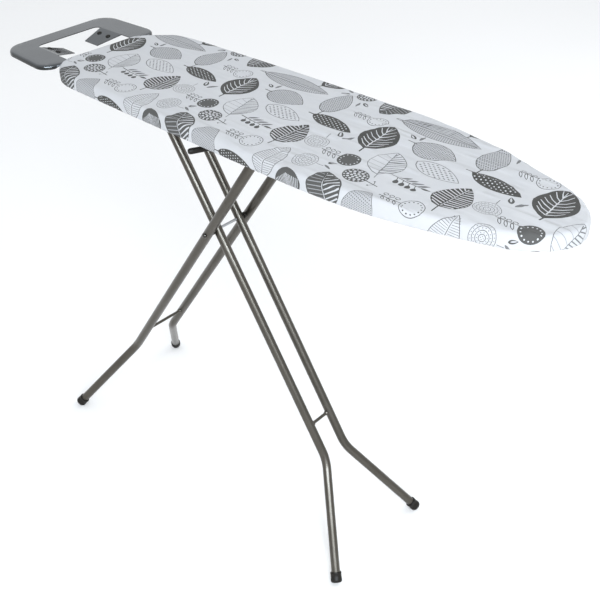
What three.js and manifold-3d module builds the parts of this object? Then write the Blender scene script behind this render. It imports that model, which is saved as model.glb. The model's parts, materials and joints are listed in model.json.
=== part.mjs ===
// A folding ironing board: a padded, cloth-covered sheet-metal deck on two crossed tubular legs, with a
// stamped iron rest at its square end and a squeeze lever under the near edge that frees the legs.
// Units are millimetres, +Z is up and +X points to the nose. The legs cross at x = 0 while the parts are
// made, and the whole is then shifted so that its origin is under the middle of its length.
import * as THREE from 'three';
import { mergeVertices } from 'three/addons/utils/BufferGeometryUtils.js';
import Module from 'manifold-3d';

const wasm = await Module();
wasm.setup();

// Overall
const TOP_Z = 910; // ironing surface above the floor
const NOSE_X = 715; // tip of the nose
const END_X = -331; // square end of the board
const REST_END_X = -505; // outer edge of the iron rest
const GAP = 0.3; // clearance between pieces that touch

// Board layers, from the top down
const COVER_T = 1.4;
const FOAM_T = 6;
const SHEET_T = 1;
const BOARD_DEPTH = 26; // top of the cover to the underside of its hem
const HEM_WIDTH = 16;
const END_GAP_DEPTH = 30; // how far the rim and hem are cut back for the iron rest's neck
const FOAM_TOP = TOP_Z - COVER_T - GAP;
const DECK_TOP = FOAM_TOP - FOAM_T - GAP;
const DECK_UNDER = DECK_TOP - SHEET_T;
const UNDER = DECK_UNDER - GAP; // where fittings under the deck begin
const COVER_BOTTOM = TOP_Z - BOARD_DEPTH;
const RIM_BOTTOM = COVER_BOTTOM + COVER_T + GAP;

// Legs, in their own plane: the pivot is at 0, the deck is up and the floor is down
const LEG_LEAN = THREE.MathUtils.degToRad(33.72); // from upright, with the board at its highest
const PIVOT_Z = 628.6;
const AXLE_Z = 862.6; // the legs' upper ends, under the deck
const ARM = (AXLE_Z - PIVOT_Z) / Math.cos(LEG_LEAN); // pivot to upper end
const TUBE_PAST_AXLE = 12;
const TUBE_WALL = 1.2;
const BEND_RADIUS = 90;
const FOOT_Z = 10.7; // middle of a foot above the floor
const REACH = (PIVOT_Z - FOOT_Z) / Math.cos(LEG_LEAN); // pivot to foot
const INNER = { name: 'inner', y: 29.6, r: 9, footY: 133, bend: 524, bar: 443, side: -1 };
const OUTER = { name: 'outer', y: 55.1, r: 9.5, footY: 156.5, bend: 516, bar: 433, side: 1 };
const TUBE_SIDES = 14;
const CROSSBAR_R = 3.2;
const PIVOT_ROD_R = 2.7;
const PIVOT_SPACER_R = 6.6;
const AXLE_R = 4;
const BRACKET_T = 2.5;
const BRACKET_Y = INNER.y + INNER.r + 0.8; // inner face of a hinge bracket's cheek

// Foot caps
const CAP_WALL = 2.5;
const CAP_LENGTH = 21;
const CAP_BASE = 5;
const CAP_DROP = 6.5; // how far above the floor the middle of a cap's end sits before it is cut flat

// Latch and lever
const FOLDED_LEAN = THREE.MathUtils.degToRad(33.72 + 54);
const CATCH_X = ARM * Math.sin(LEG_LEAN);
const CATCH_FOLDED_X = 2 * ARM * Math.sin(FOLDED_LEAN) - CATCH_X;
const RAIL_Y = 68;
const RAIL_T = 2;
const BUSH_R = 6;
const BUSH_FLANGE_R = 9.5;
const BUSH_FLANGE_T = 3;
const COMB_T = 3;
const COMB_BOTTOM = AXLE_Z + AXLE_R + 0.4; // the teeth stop just above the catch bar
const COMB_FLANGE_Z = 885;
const COMB_PIN_Y = 18;
const COMB_PIN_R = 2.5;
const COMB_EYE_R = 4.6;
const COMB_START = CATCH_X - 46;
const COMB_END = CATCH_FOLDED_X + 16;
const EYE_INSET = 24; // how far the eye stops short of each end of the comb
const PIN_OVERHANG = 6; // how far the pin reaches past the eye
const EAR_X = [COMB_START + 34, COMB_END - 34];
const EAR_T = 2.5;
const HEIGHT_STEPS = 6;
const SPRING_X = 270;
const SPRING_R = 4;
const SPRING_WIRE_R = 0.5;
const SPRING_TURNS = 5;
const LEVER_ROD_R = 2.5;
const GRIP_R = 5.4;
const GRIP_LENGTH = 66;
const GRIP_BORE = 40;

// Iron rest
const REST_TOP = 894.5;
const REST_T = 1.6;
const REST_HALF = 139;
const REST_INNER_X = -348;
const REST_LIP = 8.5; // how far the turned-down edge reaches below the plate's top
const REST_CORNER = 40;
const REST_INNER_CORNER = 30;
const NECK_HALF = 110;
const NECK_END_X = -262;
const WINDOW = { x0: -464, x1: -345, y: 81 };
const WING = { root0: -453, root1: -387, tip0: -446, tip1: -405, length: 54, slope: 15 };
const STUD_R = 5.2;
const STUD_X = [-440, -411];
const STUD_INSET = 19; // from the wing's fold
const SCREW_X = -285;
const SCREW_HOLE_R = 2.8;
const SPACER = { x: 15, y: 102 }; // half sizes

// ---------------------------------------------------------------- materials

function finish(color, roughness, metalness) {
  return new THREE.MeshStandardMaterial({ color, roughness, metalness });
}

const cloth = finish('#d6d9df', 0.9, 0);
const foam = finish('#e6e0cc', 0.95, 0);
const deckPaint = finish('#b9bcc0', 0.5, 0.4);
const legPaint = finish('#9c9a94', 0.35, 0.7);
const zinc = finish('#b4b6ba', 0.35, 0.9);
const restSteel = finish('#8e9499', 0.3, 0.9);
const blackPlastic = finish('#1d1c1a', 0.5, 0);

// ---------------------------------------------------------------- geometry helpers

function solid(geometry) {
  const bare = geometry.clone();
  bare.deleteAttribute('normal');
  bare.deleteAttribute('uv');
  const merged = mergeVertices(bare, 1e-4);
  return new wasm.Manifold(new wasm.Mesh({
    numProp: 3,
    vertProperties: new Float32Array(merged.attributes.position.array),
    triVerts: new Uint32Array(merged.index.array),
  }));
}

function geometryOf(manifold) {
  const mesh = manifold.getMesh();
  const geometry = new THREE.BufferGeometry();
  geometry.setAttribute('position', new THREE.BufferAttribute(mesh.vertProperties, 3));
  geometry.setIndex(new THREE.BufferAttribute(mesh.triVerts, 1));
  geometry.computeVertexNormals();
  return geometry;
}

function cut(base, ...tools) {
  return geometryOf(tools.reduce((body, tool) => body.subtract(solid(tool)), solid(base)));
}

function join(base, ...others) {
  return geometryOf(others.reduce((body, other) => body.add(solid(other)), solid(base)));
}

const vec = (x, y, z) => new THREE.Vector3(x, y, z);
const flat = (x, y) => new THREE.Vector2(x, y);

function block(x0, x1, y0, y1, z0, z1) {
  return new THREE.BoxGeometry(x1 - x0, y1 - y0, z1 - z0)
    .translate((x0 + x1) / 2, (y0 + y1) / 2, (z0 + z1) / 2);
}

// A slab with the given outline seen from above, from z0 up to z1.
function slab(outline, z0, z1) {
  return new THREE.ExtrudeGeometry(new THREE.Shape(outline), { depth: z1 - z0, bevelEnabled: false })
    .translate(0, 0, z0);
}

// A profile drawn in the YZ plane and extruded from x0 to x1.
function barAlongX(profile, x0, x1) {
  const turn = new THREE.Matrix4().makeBasis(vec(0, 1, 0), vec(0, 0, 1), vec(1, 0, 0));
  return new THREE.ExtrudeGeometry(new THREE.Shape(profile), { depth: x1 - x0, bevelEnabled: false })
    .applyMatrix4(turn).translate(x0, 0, 0);
}

// A profile drawn in the XZ plane and extruded from y0 to y1.
function plateAlongY(shape, y0, y1) {
  const turn = new THREE.Matrix4().makeBasis(vec(1, 0, 0), vec(0, 0, 1), vec(0, -1, 0));
  return new THREE.ExtrudeGeometry(shape, { depth: y1 - y0, bevelEnabled: false, curveSegments: 8 })
    .applyMatrix4(turn).translate(0, y1, 0);
}

function rod(from, to, radius, sides = 16) {
  const way = to.clone().sub(from);
  const turn = new THREE.Quaternion().setFromUnitVectors(vec(0, 1, 0), way.clone().normalize());
  const middle = from.clone().add(to).multiplyScalar(0.5);
  return new THREE.CylinderGeometry(radius, radius, way.length(), sides)
    .applyQuaternion(turn).translate(middle.x, middle.y, middle.z);
}

function turned(profile, sides, from, way) {
  const turn = new THREE.Quaternion().setFromUnitVectors(vec(0, 1, 0), way.clone().normalize());
  return new THREE.LatheGeometry(profile.map(([r, h]) => flat(r, h)), sides)
    .applyQuaternion(turn).translate(from.x, from.y, from.z);
}

const circle = (cx, cy, radius, sides) => Array.from({ length: sides }, (_, i) => {
  const angle = (i / sides) * 2 * Math.PI;
  return flat(cx + radius * Math.cos(angle), cy + radius * Math.sin(angle));
});

function roundedBox(x0, x1, y0, y1, r0, r1) {
  const shape = new THREE.Shape();
  shape.moveTo(x0 + r0, y0);
  shape.lineTo(x1 - r1, y0);
  shape.absarc(x1 - r1, y0 + r1, r1, -Math.PI / 2, 0);
  shape.absarc(x1 - r1, y1 - r1, r1, 0, Math.PI / 2);
  shape.absarc(x0 + r0, y1 - r0, r0, Math.PI / 2, Math.PI);
  shape.absarc(x0 + r0, y0 + r0, r0, Math.PI, 1.5 * Math.PI);
  return shape.getPoints(6).slice(0, -1);
}

// A path through listed points, with one extrusion step for each stretch between them.
class PathThrough extends THREE.Curve {
  constructor(points) {
    super();
    this.points = points;
  }
  getUtoTmapping(u) {
    return u;
  }
  getPoint(t, target = new THREE.Vector3()) {
    const place = t * (this.points.length - 1);
    const first = Math.min(Math.floor(place), this.points.length - 2);
    return target.lerpVectors(this.points[first], this.points[first + 1], place - first);
  }
}

function sweep(points, radius, sides, bore = 0) {
  const section = new THREE.Shape(circle(0, 0, radius, sides));
  if (bore) section.holes.push(new THREE.Path(circle(0, 0, bore, sides)));
  const extrudePath = new PathThrough(points);
  return new THREE.ExtrudeGeometry(section, { extrudePath, steps: points.length - 1 });
}

// ---------------------------------------------------------------- the board's outline

// One side of the outline from the square end to the nose, as cubic curves, each with its step count.
const SIDE_CURVES = [
  { points: [[END_X, 96], [-327, 118], [-306, 137], [-258, 141]], steps: 8 },
  { points: [[-258, 141], [-150, 148], [50, 153], [200, 153]], steps: 7 },
  { points: [[200, 153], [300, 153], [390, 151.5], [457, 139]], steps: 6 },
  { points: [[457, 139], [515, 127], [588, 107], [640, 88]], steps: 5 },
  { points: [[640, 88], [674, 73], [NOSE_X, 40], [NOSE_X, 0]], steps: 9 },
];

function boardOutline() {
  const side = [flat(END_X, SIDE_CURVES[0].points[0][1])];
  for (const { points, steps } of SIDE_CURVES) {
    const curve = new THREE.CubicBezierCurve(...points.map(([x, y]) => flat(x, y)));
    side.push(...curve.getPoints(steps).slice(1));
  }
  const other = side.slice(0, -1).map((p) => flat(p.x, -p.y));
  return [...other, ...side.reverse()];
}

// The outline moved in by a distance, each point along the mean of its two edges' normals.
function inset(outline, distance) {
  return outline.map((p, i) => {
    const before = outline.at(i - 1);
    const after = outline[(i + 1) % outline.length];
    const a = p.clone().sub(before).normalize();
    const b = after.clone().sub(p).normalize();
    const along = a.clone().add(b).normalize();
    const lengthen = 1 / Math.max(a.dot(along), 0.5);
    return flat(p.x - along.y * distance * lengthen, p.y + along.x * distance * lengthen);
  });
}

const OUTLINE = boardOutline();
const DECK_OUTLINE = inset(OUTLINE, COVER_T + GAP);
const SCREW_Y = [-88, -40, 40, 88];

function screwHoles(z0, z1) {
  return SCREW_Y.map((y) => rod(vec(SCREW_X, y, z0), vec(SCREW_X, y, z1), SCREW_HOLE_R, 12));
}

// ---------------------------------------------------------------- deck and its layers

// A pressed tray: a flat sheet with its rim turned down, open at the square end for the rest's neck.
function deckSheet() {
  return cut(
    slab(DECK_OUTLINE, RIM_BOTTOM, DECK_TOP),
    slab(inset(DECK_OUTLINE, SHEET_T), RIM_BOTTOM - 5, DECK_UNDER),
    block(END_X - 10, END_X + END_GAP_DEPTH, -NECK_HALF - 4, NECK_HALF + 4, RIM_BOTTOM - 5, DECK_UNDER),
    ...screwHoles(DECK_UNDER - 5, DECK_TOP + 5),
  );
}

function foamPad() {
  return slab(DECK_OUTLINE, FOAM_TOP - FOAM_T, FOAM_TOP);
}

// The cover caps the foam, hangs down the rim and turns in under it as a hem.
function boardCover() {
  return cut(
    slab(OUTLINE, COVER_BOTTOM, TOP_Z),
    slab(inset(OUTLINE, COVER_T), COVER_BOTTOM + COVER_T, TOP_Z - COVER_T),
    slab(inset(OUTLINE, HEM_WIDTH), COVER_BOTTOM - 5, COVER_BOTTOM + COVER_T + 1),
    block(END_X - 10, END_X + END_GAP_DEPTH, -NECK_HALF - 4, NECK_HALF + 4, COVER_BOTTOM - 5, REST_TOP + 3),
  );
}

// ---------------------------------------------------------------- iron rest

// One wing folded into the window and sloping down, drawn for the +y side.
function wing(side) {
  const { root0, root1, tip0, tip1, length, slope } = WING;
  const outline = [flat(root0, 2), flat(tip0, -length), flat(tip1, -length), flat(root1, 2)];
  return slab(side > 0 ? outline : outline.map((p) => flat(p.x, -p.y)).reverse(), -REST_T, 0)
    .rotateX(side * THREE.MathUtils.degToRad(slope))
    .translate(0, side * WINDOW.y, REST_TOP);
}

function ironRestPlate() {
  const outline = roundedBox(REST_END_X, REST_INNER_X, -REST_HALF, REST_HALF, REST_CORNER, REST_INNER_CORNER);
  const lipBottom = REST_TOP - REST_LIP;
  const plate = join(
    slab(outline, lipBottom, REST_TOP),
    block(REST_INNER_X - 30, NECK_END_X, -NECK_HALF, NECK_HALF, lipBottom, REST_TOP),
  );
  const hollow = join(
    slab(inset(outline, REST_T), lipBottom - 5, REST_TOP - REST_T),
    block(REST_INNER_X - 20, NECK_END_X + 5, -NECK_HALF - 5, NECK_HALF + 5, lipBottom - 5, REST_TOP - REST_T),
  );
  const windowOutline = roundedBox(WINDOW.x0, WINDOW.x1, -WINDOW.y, WINDOW.y, 6, 6);
  const window = slab(windowOutline, lipBottom - 5, REST_TOP + 5);
  const cutPlate = cut(plate, hollow, window, ...screwHoles(REST_TOP - 5, REST_TOP + 5));
  const studHoles = studPlaces().map(({ at, up }) => {
    const below = at.clone().addScaledVector(up, -8);
    const above = at.clone().addScaledVector(up, 8);
    return rod(below, above, SCREW_HOLE_R, 12);
  });
  return cut(join(cutPlate, wing(1), wing(-1)), ...studHoles);
}

// Where the studs stand on the wings: the point on the wing's upper face and that face's normal.
function studPlaces() {
  const slope = THREE.MathUtils.degToRad(WING.slope);
  return [-1, 1].flatMap((side) => STUD_X.map((x) => ({
    at: vec(x, side * (WINDOW.y - STUD_INSET * Math.cos(slope)), REST_TOP - STUD_INSET * Math.sin(slope)),
    up: vec(0, -side * Math.sin(slope), Math.cos(slope)),
  })));
}

// A heat-proof stud: a low dome with a stem through the wing.
function restStud({ at, up }) {
  const profile = [[0, -REST_T - 1.5], [2.5, -REST_T - 1.5], [2.5, GAP], [STUD_R, GAP],
    [STUD_R, 1.6], [STUD_R * 0.75, 2.9], [0, 3.4]];
  return turned(profile, 14, at, up);
}

function restSpacer() {
  const bar = block(SCREW_X - SPACER.x, SCREW_X + SPACER.x, -SPACER.y, SPACER.y, REST_TOP + GAP, UNDER);
  return cut(bar, ...screwHoles(REST_TOP - 5, UNDER + 5));
}

// A pan-headed screw, put in from below.
function restScrew(y) {
  const head = REST_TOP - REST_T - GAP;
  const tip = DECK_TOP - 0.2;
  const panHead = [[0, head - 3.4], [3.6, head - 3.2], [5, head - 1.6], [5, head]];
  const shank = [[2.5, head], [2.5, tip], [0, tip]];
  return turned([...panHead, ...shank], 14, vec(SCREW_X, y, 0), vec(0, 0, 1));
}

// ---------------------------------------------------------------- fittings under the deck

// A bracket for the inner leg's axle: a round-ended cheek with a flange on the deck's underside.
function hingeBracket(side) {
  const half = 17;
  const round = 11;
  const cheek = new THREE.Shape();
  cheek.moveTo(-CATCH_X - half, UNDER);
  cheek.lineTo(-CATCH_X - round, AXLE_Z);
  cheek.absarc(-CATCH_X, AXLE_Z, round, Math.PI, 2 * Math.PI);
  cheek.lineTo(-CATCH_X + half, UNDER);
  cheek.closePath();
  const upright = plateAlongY(cheek, BRACKET_Y, BRACKET_Y + BRACKET_T);
  const flange = block(-CATCH_X - half, -CATCH_X + half, BRACKET_Y, BRACKET_Y + 18, UNDER - BRACKET_T, UNDER);
  const hole = rod(vec(-CATCH_X, 0, AXLE_Z), vec(-CATCH_X, 80, AXLE_Z), AXLE_R + GAP);
  return mirrored(cut(join(upright, flange), hole), side);
}

// The same geometry on the +y side, or mirrored to the -y side with its faces turned back outward.
function mirrored(geometry, side) {
  if (side > 0) return geometry;
  const copy = geometry.clone().scale(1, -1, 1);
  const index = copy.index.array;
  for (let i = 0; i < index.length; i += 3) [index[i], index[i + 1]] = [index[i + 1], index[i]];
  copy.computeVertexNormals();
  return copy;
}

// A guide rail: an angle whose upright leg has the long slot in which the catch bar's bush slides.
function guideRail(side) {
  const x0 = CATCH_X - 26;
  const x1 = CATCH_FOLDED_X + 26;
  const bottom = AXLE_Z - 14;
  const angle = [flat(RAIL_Y, bottom), flat(RAIL_Y + RAIL_T, bottom), flat(RAIL_Y + RAIL_T, UNDER - RAIL_T),
    flat(RAIL_Y + 20, UNDER - RAIL_T), flat(RAIL_Y + 20, UNDER), flat(RAIL_Y, UNDER)];
  const r = BUSH_R + GAP;
  const slot = new THREE.Shape();
  slot.absarc(CATCH_X, AXLE_Z, r, Math.PI / 2, 1.5 * Math.PI);
  slot.absarc(CATCH_FOLDED_X, AXLE_Z, r, -Math.PI / 2, Math.PI / 2);
  slot.closePath();
  return mirrored(cut(barAlongX(angle, x0, x1), plateAlongY(slot, RAIL_Y - 5, RAIL_Y + 10)), side);
}

function leverEar(x) {
  const ear = [flat(COMB_PIN_Y - 6, COMB_FLANGE_Z), flat(COMB_PIN_Y - 3, COMB_FLANGE_Z - 6),
    flat(COMB_PIN_Y + 3, COMB_FLANGE_Z - 6), flat(COMB_PIN_Y + 6, COMB_FLANGE_Z),
    flat(COMB_PIN_Y + 9, UNDER), flat(COMB_PIN_Y - 4, UNDER)];
  return cut(barAlongX(ear, x - EAR_T / 2, x + EAR_T / 2), rodOnPin(x - 10, x + 10, COMB_PIN_R + GAP));
}

// A rod on the lever pin's line, from x0 to x1.
function rodOnPin(x0, x1, radius) {
  return rod(vec(x0, COMB_PIN_Y, COMB_FLANGE_Z), vec(x1, COMB_PIN_Y, COMB_FLANGE_Z), radius);
}

function leverPin() {
  const inset = EYE_INSET - PIN_OVERHANG;
  return rodOnPin(COMB_START + inset, COMB_END - inset, COMB_PIN_R);
}

// ---------------------------------------------------------------- latch comb and lever

// The latch strip: a toothed upright with a flange that ends in an eye around the lever's pin.
function latchComb() {
  const half = COMB_T / 2;
  const upright = block(COMB_START, COMB_END, -half, half, COMB_BOTTOM, COMB_FLANGE_Z + 1);
  const flange = block(COMB_START, COMB_END, -half, COMB_PIN_Y, COMB_FLANGE_Z - 1, COMB_FLANGE_Z + 1);
  const eyeSection = circle(COMB_PIN_Y, COMB_FLANGE_Z, COMB_EYE_R, 16);
  const eye = barAlongX(eyeSection, COMB_START + EYE_INSET, COMB_END - EYE_INSET);
  const bore = rodOnPin(COMB_START - 5, COMB_END + 5, COMB_PIN_R + GAP);
  const [y, z] = [COMB_PIN_Y, COMB_FLANGE_Z];
  const aroundPin = (x0, x1) => block(x0, x1, y - 8, y + 8, z - 8, z + 8);
  const earSlots = EAR_X.map((x) => aroundPin(x - 3, x + 3));
  const pinClear = [
    aroundPin(COMB_START - 1, COMB_START + EYE_INSET),
    aroundPin(COMB_END - EYE_INSET, COMB_END + 1),
  ];
  const pitch = (CATCH_FOLDED_X - CATCH_X - 20) / (HEIGHT_STEPS - 1);
  const notches = Array.from({ length: HEIGHT_STEPS }, (_, i) => {
    const x = CATCH_X + i * pitch;
    return rod(vec(x, -5, COMB_BOTTOM), vec(x, 5, COMB_BOTTOM), AXLE_R + 1.5);
  });
  return cut(join(upright, flange, eye), bore, ...earSlots, ...pinClear, ...notches);
}

// The lever's rod leaves the comb level with the deck, passes above the folded legs and dips to the grip.
const GRIP_TIP = vec(62, -141, 856);
const GRIP_WAY = vec(11, 24, 0).normalize();
const GRIP_ROOT = GRIP_TIP.clone().addScaledVector(GRIP_WAY, GRIP_LENGTH);
const LEVER_ROUTE = [
  vec(125, -COMB_T / 2 - 1.5, 874),
  vec(118, -18, 873.5),
  vec(101, -57, 872),
  GRIP_ROOT.clone().addScaledVector(GRIP_WAY, 15).setZ(869),
  GRIP_ROOT.clone().addScaledVector(GRIP_WAY, 9).setZ(863),
  GRIP_ROOT.clone().addScaledVector(GRIP_WAY, 5).setZ(858),
  GRIP_ROOT.clone().addScaledVector(GRIP_WAY, 1.5),
  GRIP_ROOT.clone().addScaledVector(GRIP_WAY, -GRIP_BORE + 2),
];

function leverGrip() {
  const bore = LEVER_ROD_R + GAP;
  const end = GRIP_LENGTH;
  const socket = [[0, GRIP_BORE], [bore, GRIP_BORE], [bore, 0], [GRIP_R - 1.5, 0]];
  const handle = [[GRIP_R, 1.5], [GRIP_R, 6], [GRIP_R * 0.94, end / 2], [GRIP_R, end - 6]];
  const nose = [[GRIP_R * 0.86, end - 2.8], [GRIP_R * 0.5, end - 0.8], [0, end]];
  return turned([...socket, ...handle, ...nose], 18, GRIP_ROOT, GRIP_WAY.clone().negate());
}

// A coil spring between the comb's flange and the deck, which pushes the comb back down.
function returnSpring() {
  const perTurn = 12;
  const steps = SPRING_TURNS * perTurn;
  const low = COMB_FLANGE_Z + 1 + GAP + SPRING_WIRE_R;
  const high = UNDER - SPRING_WIRE_R;
  const points = Array.from({ length: steps + 1 }, (_, i) => {
    const angle = (i / perTurn) * 2 * Math.PI;
    const x = SPRING_X + SPRING_R * Math.cos(angle);
    const y = 5 + SPRING_R * Math.sin(angle);
    return vec(x, y, low + ((high - low) * i) / steps);
  });
  return sweep(points, SPRING_WIRE_R, 6);
}

// ---------------------------------------------------------------- legs

// The tube's centre line in its leg's plane: straight, round the bend, then splayed out to the foot.
function tubeRoute(leg, side) {
  const splay = Math.atan2(leg.footY - leg.y, REACH - leg.bend);
  const tangent = BEND_RADIUS * Math.tan(splay / 2);
  const points = [vec(0, side * leg.y, ARM + TUBE_PAST_AXLE), vec(0, side * leg.y, 0)];
  const bendSteps = 7;
  for (let i = 0; i <= bendSteps; i += 1) {
    const angle = (splay * i) / bendSteps;
    points.push(vec(0, side * (leg.y + BEND_RADIUS * (1 - Math.cos(angle))),
      -leg.bend + tangent - BEND_RADIUS * Math.sin(angle)));
  }
  const way = vec(0, side * Math.sin(splay), -Math.cos(splay));
  const foot = vec(0, side * leg.footY, -REACH);
  return { points, way, foot };
}

function legTube(leg, side) {
  const { points, way, foot } = tubeRoute(leg, side);
  const end = foot.clone().addScaledVector(way, -3);
  const tube = sweep([...points, end], leg.r, TUBE_SIDES, leg.r - TUBE_WALL);
  const holeAt = (z, radius) => rod(vec(0, -90, z), vec(0, 90, z), radius + GAP);
  return cut(tube, holeAt(0, PIVOT_ROD_R), holeAt(ARM, AXLE_R));
}

// A cup pushed onto the tube's end, cut flat where it stands on the floor.
function footCap(leg, side) {
  const { way, foot } = tubeRoute(leg, side);
  const outer = leg.r + CAP_WALL;
  const inner = leg.r + GAP;
  const lean = new THREE.Matrix4().makeRotationY(leg.side * LEG_LEAN);
  const worldWay = way.clone().applyMatrix4(lean);
  const worldFoot = foot.clone().applyMatrix4(lean).add(vec(0, 0, PIVOT_Z));
  const baseCentre = worldFoot.clone().addScaledVector(worldWay, (worldFoot.z - CAP_DROP) / -worldWay.z);
  const profile = [[0, 0], [outer - 1.5, 0], [outer, 1.5], [outer, CAP_LENGTH - 1], [outer - 0.8, CAP_LENGTH],
    [inner, CAP_LENGTH], [inner, CAP_BASE], [0, CAP_BASE]];
  const cup = turned(profile, 20, baseCentre, worldWay.clone().negate());
  const floor = block(worldFoot.x - 60, worldFoot.x + 60, worldFoot.y - 60, worldFoot.y + 60, -60, 0);
  return cut(cup, floor);
}

function crossbar(leg) {
  const half = leg.y - leg.r - GAP;
  return rod(vec(0, -half, -leg.bar), vec(0, half, -leg.bar), CROSSBAR_R);
}

function lidAt(y, side, radius, thick, z) {
  const profile = [[0, 0], [radius, 0], [radius, thick * 0.4], [radius * 0.7, thick * 0.85], [0, thick]];
  return turned(profile, 16, vec(0, side * y, z), vec(0, side, 0));
}

// A ring around the Y axis at height z, from y0 to y1.
function ring(y0, y1, outer, inner, z, side) {
  const profile = [[inner, y0], [outer, y0], [outer, y1], [inner, y1], [inner, y0]];
  return turned(profile, 18, vec(0, 0, z), vec(0, side, 0));
}

// A flanged bush on each end of the catch bar: the barrel runs in the rail's slot.
function slideBush(side) {
  const bore = AXLE_R + GAP;
  const y0 = OUTER.y + OUTER.r + GAP;
  const y1 = RAIL_Y + RAIL_T + GAP;
  const end = y1 + BUSH_FLANGE_T;
  const barrel = [[bore, y0], [BUSH_R, y0], [BUSH_R, y1]];
  const flange = [[BUSH_FLANGE_R, y1], [BUSH_FLANGE_R, end], [bore, end], [bore, y0]];
  return turned([...barrel, ...flange], 18, vec(0, 0, ARM), vec(0, side, 0));
}

// ---------------------------------------------------------------- assembly

const board = new THREE.Group();

function add(parent, name, geometry, material) {
  const mesh = new THREE.Mesh(geometry, material);
  mesh.name = name;
  parent.add(mesh);
}

const SIDES = [['right', -1], ['left', 1]];

function addDeck(parent) {
  add(parent, 'deck_sheet', deckSheet(), deckPaint);
  add(parent, 'foam_pad', foamPad(), foam);
  add(parent, 'board_cover', boardCover(), cloth);
  add(parent, 'iron_rest_plate', ironRestPlate(), restSteel);
  add(parent, 'iron_rest_spacer', restSpacer(), zinc);
  studPlaces().forEach((place, i) => add(parent, `iron_rest_stud_${i + 1}`, restStud(place), blackPlastic));
  SCREW_Y.forEach((y, i) => add(parent, `iron_rest_screw_${i + 1}`, restScrew(y), zinc));
  for (const [word, side] of SIDES) {
    add(parent, `hinge_bracket_${word}`, hingeBracket(side), zinc);
    add(parent, `guide_rail_${word}`, guideRail(side), zinc);
  }
  EAR_X.forEach((x, i) => add(parent, `lever_ear_${i + 1}`, leverEar(x), zinc));
  add(parent, 'lever_pin', leverPin(), zinc);
  add(parent, 'return_spring', returnSpring(), zinc);
}

function addLever(parent) {
  add(parent, 'latch_comb', latchComb(), zinc);
  add(parent, 'lever_rod', sweep(LEVER_ROUTE, LEVER_ROD_R, 12), zinc);
  add(parent, 'lever_grip', leverGrip(), blackPlastic);
}

function leaningLeg(parent, leg) {
  const group = new THREE.Group();
  group.position.z = PIVOT_Z;
  group.rotation.y = leg.side * LEG_LEAN;
  parent.add(group);
  for (const [word, side] of SIDES) {
    add(group, `${leg.name}_tube_${word}`, legTube(leg, side), legPaint);
    add(parent, `${leg.name}_foot_cap_${word}`, footCap(leg, side), blackPlastic);
  }
  add(group, `${leg.name}_crossbar`, crossbar(leg), legPaint);
  return group;
}

function addInnerLeg(parent) {
  const group = leaningLeg(parent, INNER);
  const axleHalf = BRACKET_Y + BRACKET_T + GAP;
  add(group, 'hinge_axle', rod(vec(0, -axleHalf, ARM), vec(0, axleHalf, ARM), AXLE_R), zinc);
  const rodHalf = OUTER.y + OUTER.r + GAP;
  add(group, 'pivot_rod', rod(vec(0, -rodHalf, 0), vec(0, rodHalf, 0), PIVOT_ROD_R), zinc);
  for (const [word, side] of SIDES) {
    add(group, `axle_cap_${word}`, lidAt(axleHalf + GAP, side, 6.5, 2.6, ARM), zinc);
    add(group, `pivot_cap_${word}`, lidAt(rodHalf + GAP, side, 5.6, 3.4, 0), zinc);
    add(group, `pivot_spacer_${word}`,
      ring(INNER.y + INNER.r + GAP, OUTER.y - OUTER.r - GAP, PIVOT_SPACER_R, PIVOT_ROD_R + GAP, 0, side),
      blackPlastic);
  }
}

function addOuterLeg(parent) {
  const group = leaningLeg(parent, OUTER);
  const barHalf = RAIL_Y + RAIL_T + 2 * GAP + BUSH_FLANGE_T;
  add(group, 'catch_bar', rod(vec(0, -barHalf, ARM), vec(0, barHalf, ARM), AXLE_R), zinc);
  for (const [word, side] of SIDES) {
    add(group, `slide_bush_${word}`, slideBush(side), blackPlastic);
    add(group, `catch_bar_cap_${word}`, lidAt(barHalf + GAP, side, 6.5, 2.6, ARM), zinc);
  }
}

addDeck(board);
addLever(board);
addInnerLeg(board);
addOuterLeg(board);
board.position.x = -(NOSE_X + REST_END_X) / 2;

export default board;
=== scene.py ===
"""A folding ironing board: a printed cover over a foam pad and a steel deck, on two crossed tubular legs.

Units are metres, +Z is up and +X points to the nose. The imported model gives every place. Outlines and flat
patterns are drawn in millimetres from the point where the legs cross, seen from above.
"""
import json
import math

import bmesh
import bpy
import numpy as np
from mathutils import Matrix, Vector, geometry, noise


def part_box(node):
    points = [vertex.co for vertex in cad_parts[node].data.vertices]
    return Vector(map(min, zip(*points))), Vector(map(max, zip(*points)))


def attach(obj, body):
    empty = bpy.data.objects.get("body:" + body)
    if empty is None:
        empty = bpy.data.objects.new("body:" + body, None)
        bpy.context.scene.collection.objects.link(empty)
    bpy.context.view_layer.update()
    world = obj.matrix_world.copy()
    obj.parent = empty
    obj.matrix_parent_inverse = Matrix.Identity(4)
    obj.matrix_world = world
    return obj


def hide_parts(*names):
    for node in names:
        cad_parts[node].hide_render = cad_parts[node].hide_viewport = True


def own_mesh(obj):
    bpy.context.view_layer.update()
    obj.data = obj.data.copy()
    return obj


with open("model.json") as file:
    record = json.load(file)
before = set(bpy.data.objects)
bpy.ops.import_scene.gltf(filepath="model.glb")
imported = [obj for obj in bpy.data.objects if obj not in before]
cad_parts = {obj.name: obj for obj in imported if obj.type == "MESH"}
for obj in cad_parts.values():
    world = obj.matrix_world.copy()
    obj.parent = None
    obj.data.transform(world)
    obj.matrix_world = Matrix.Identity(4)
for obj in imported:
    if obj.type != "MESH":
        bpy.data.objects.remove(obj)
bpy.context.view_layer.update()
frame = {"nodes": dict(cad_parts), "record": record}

MM = 0.001
SIDES = {"right": -1, "left": 1}
BODY_OF = {node: body for body, nodes in frame["record"]["behaviour"]["bodies"].items() for node in nodes}


def middle(node):
    low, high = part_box(node)
    return (low + high) / 2


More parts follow.
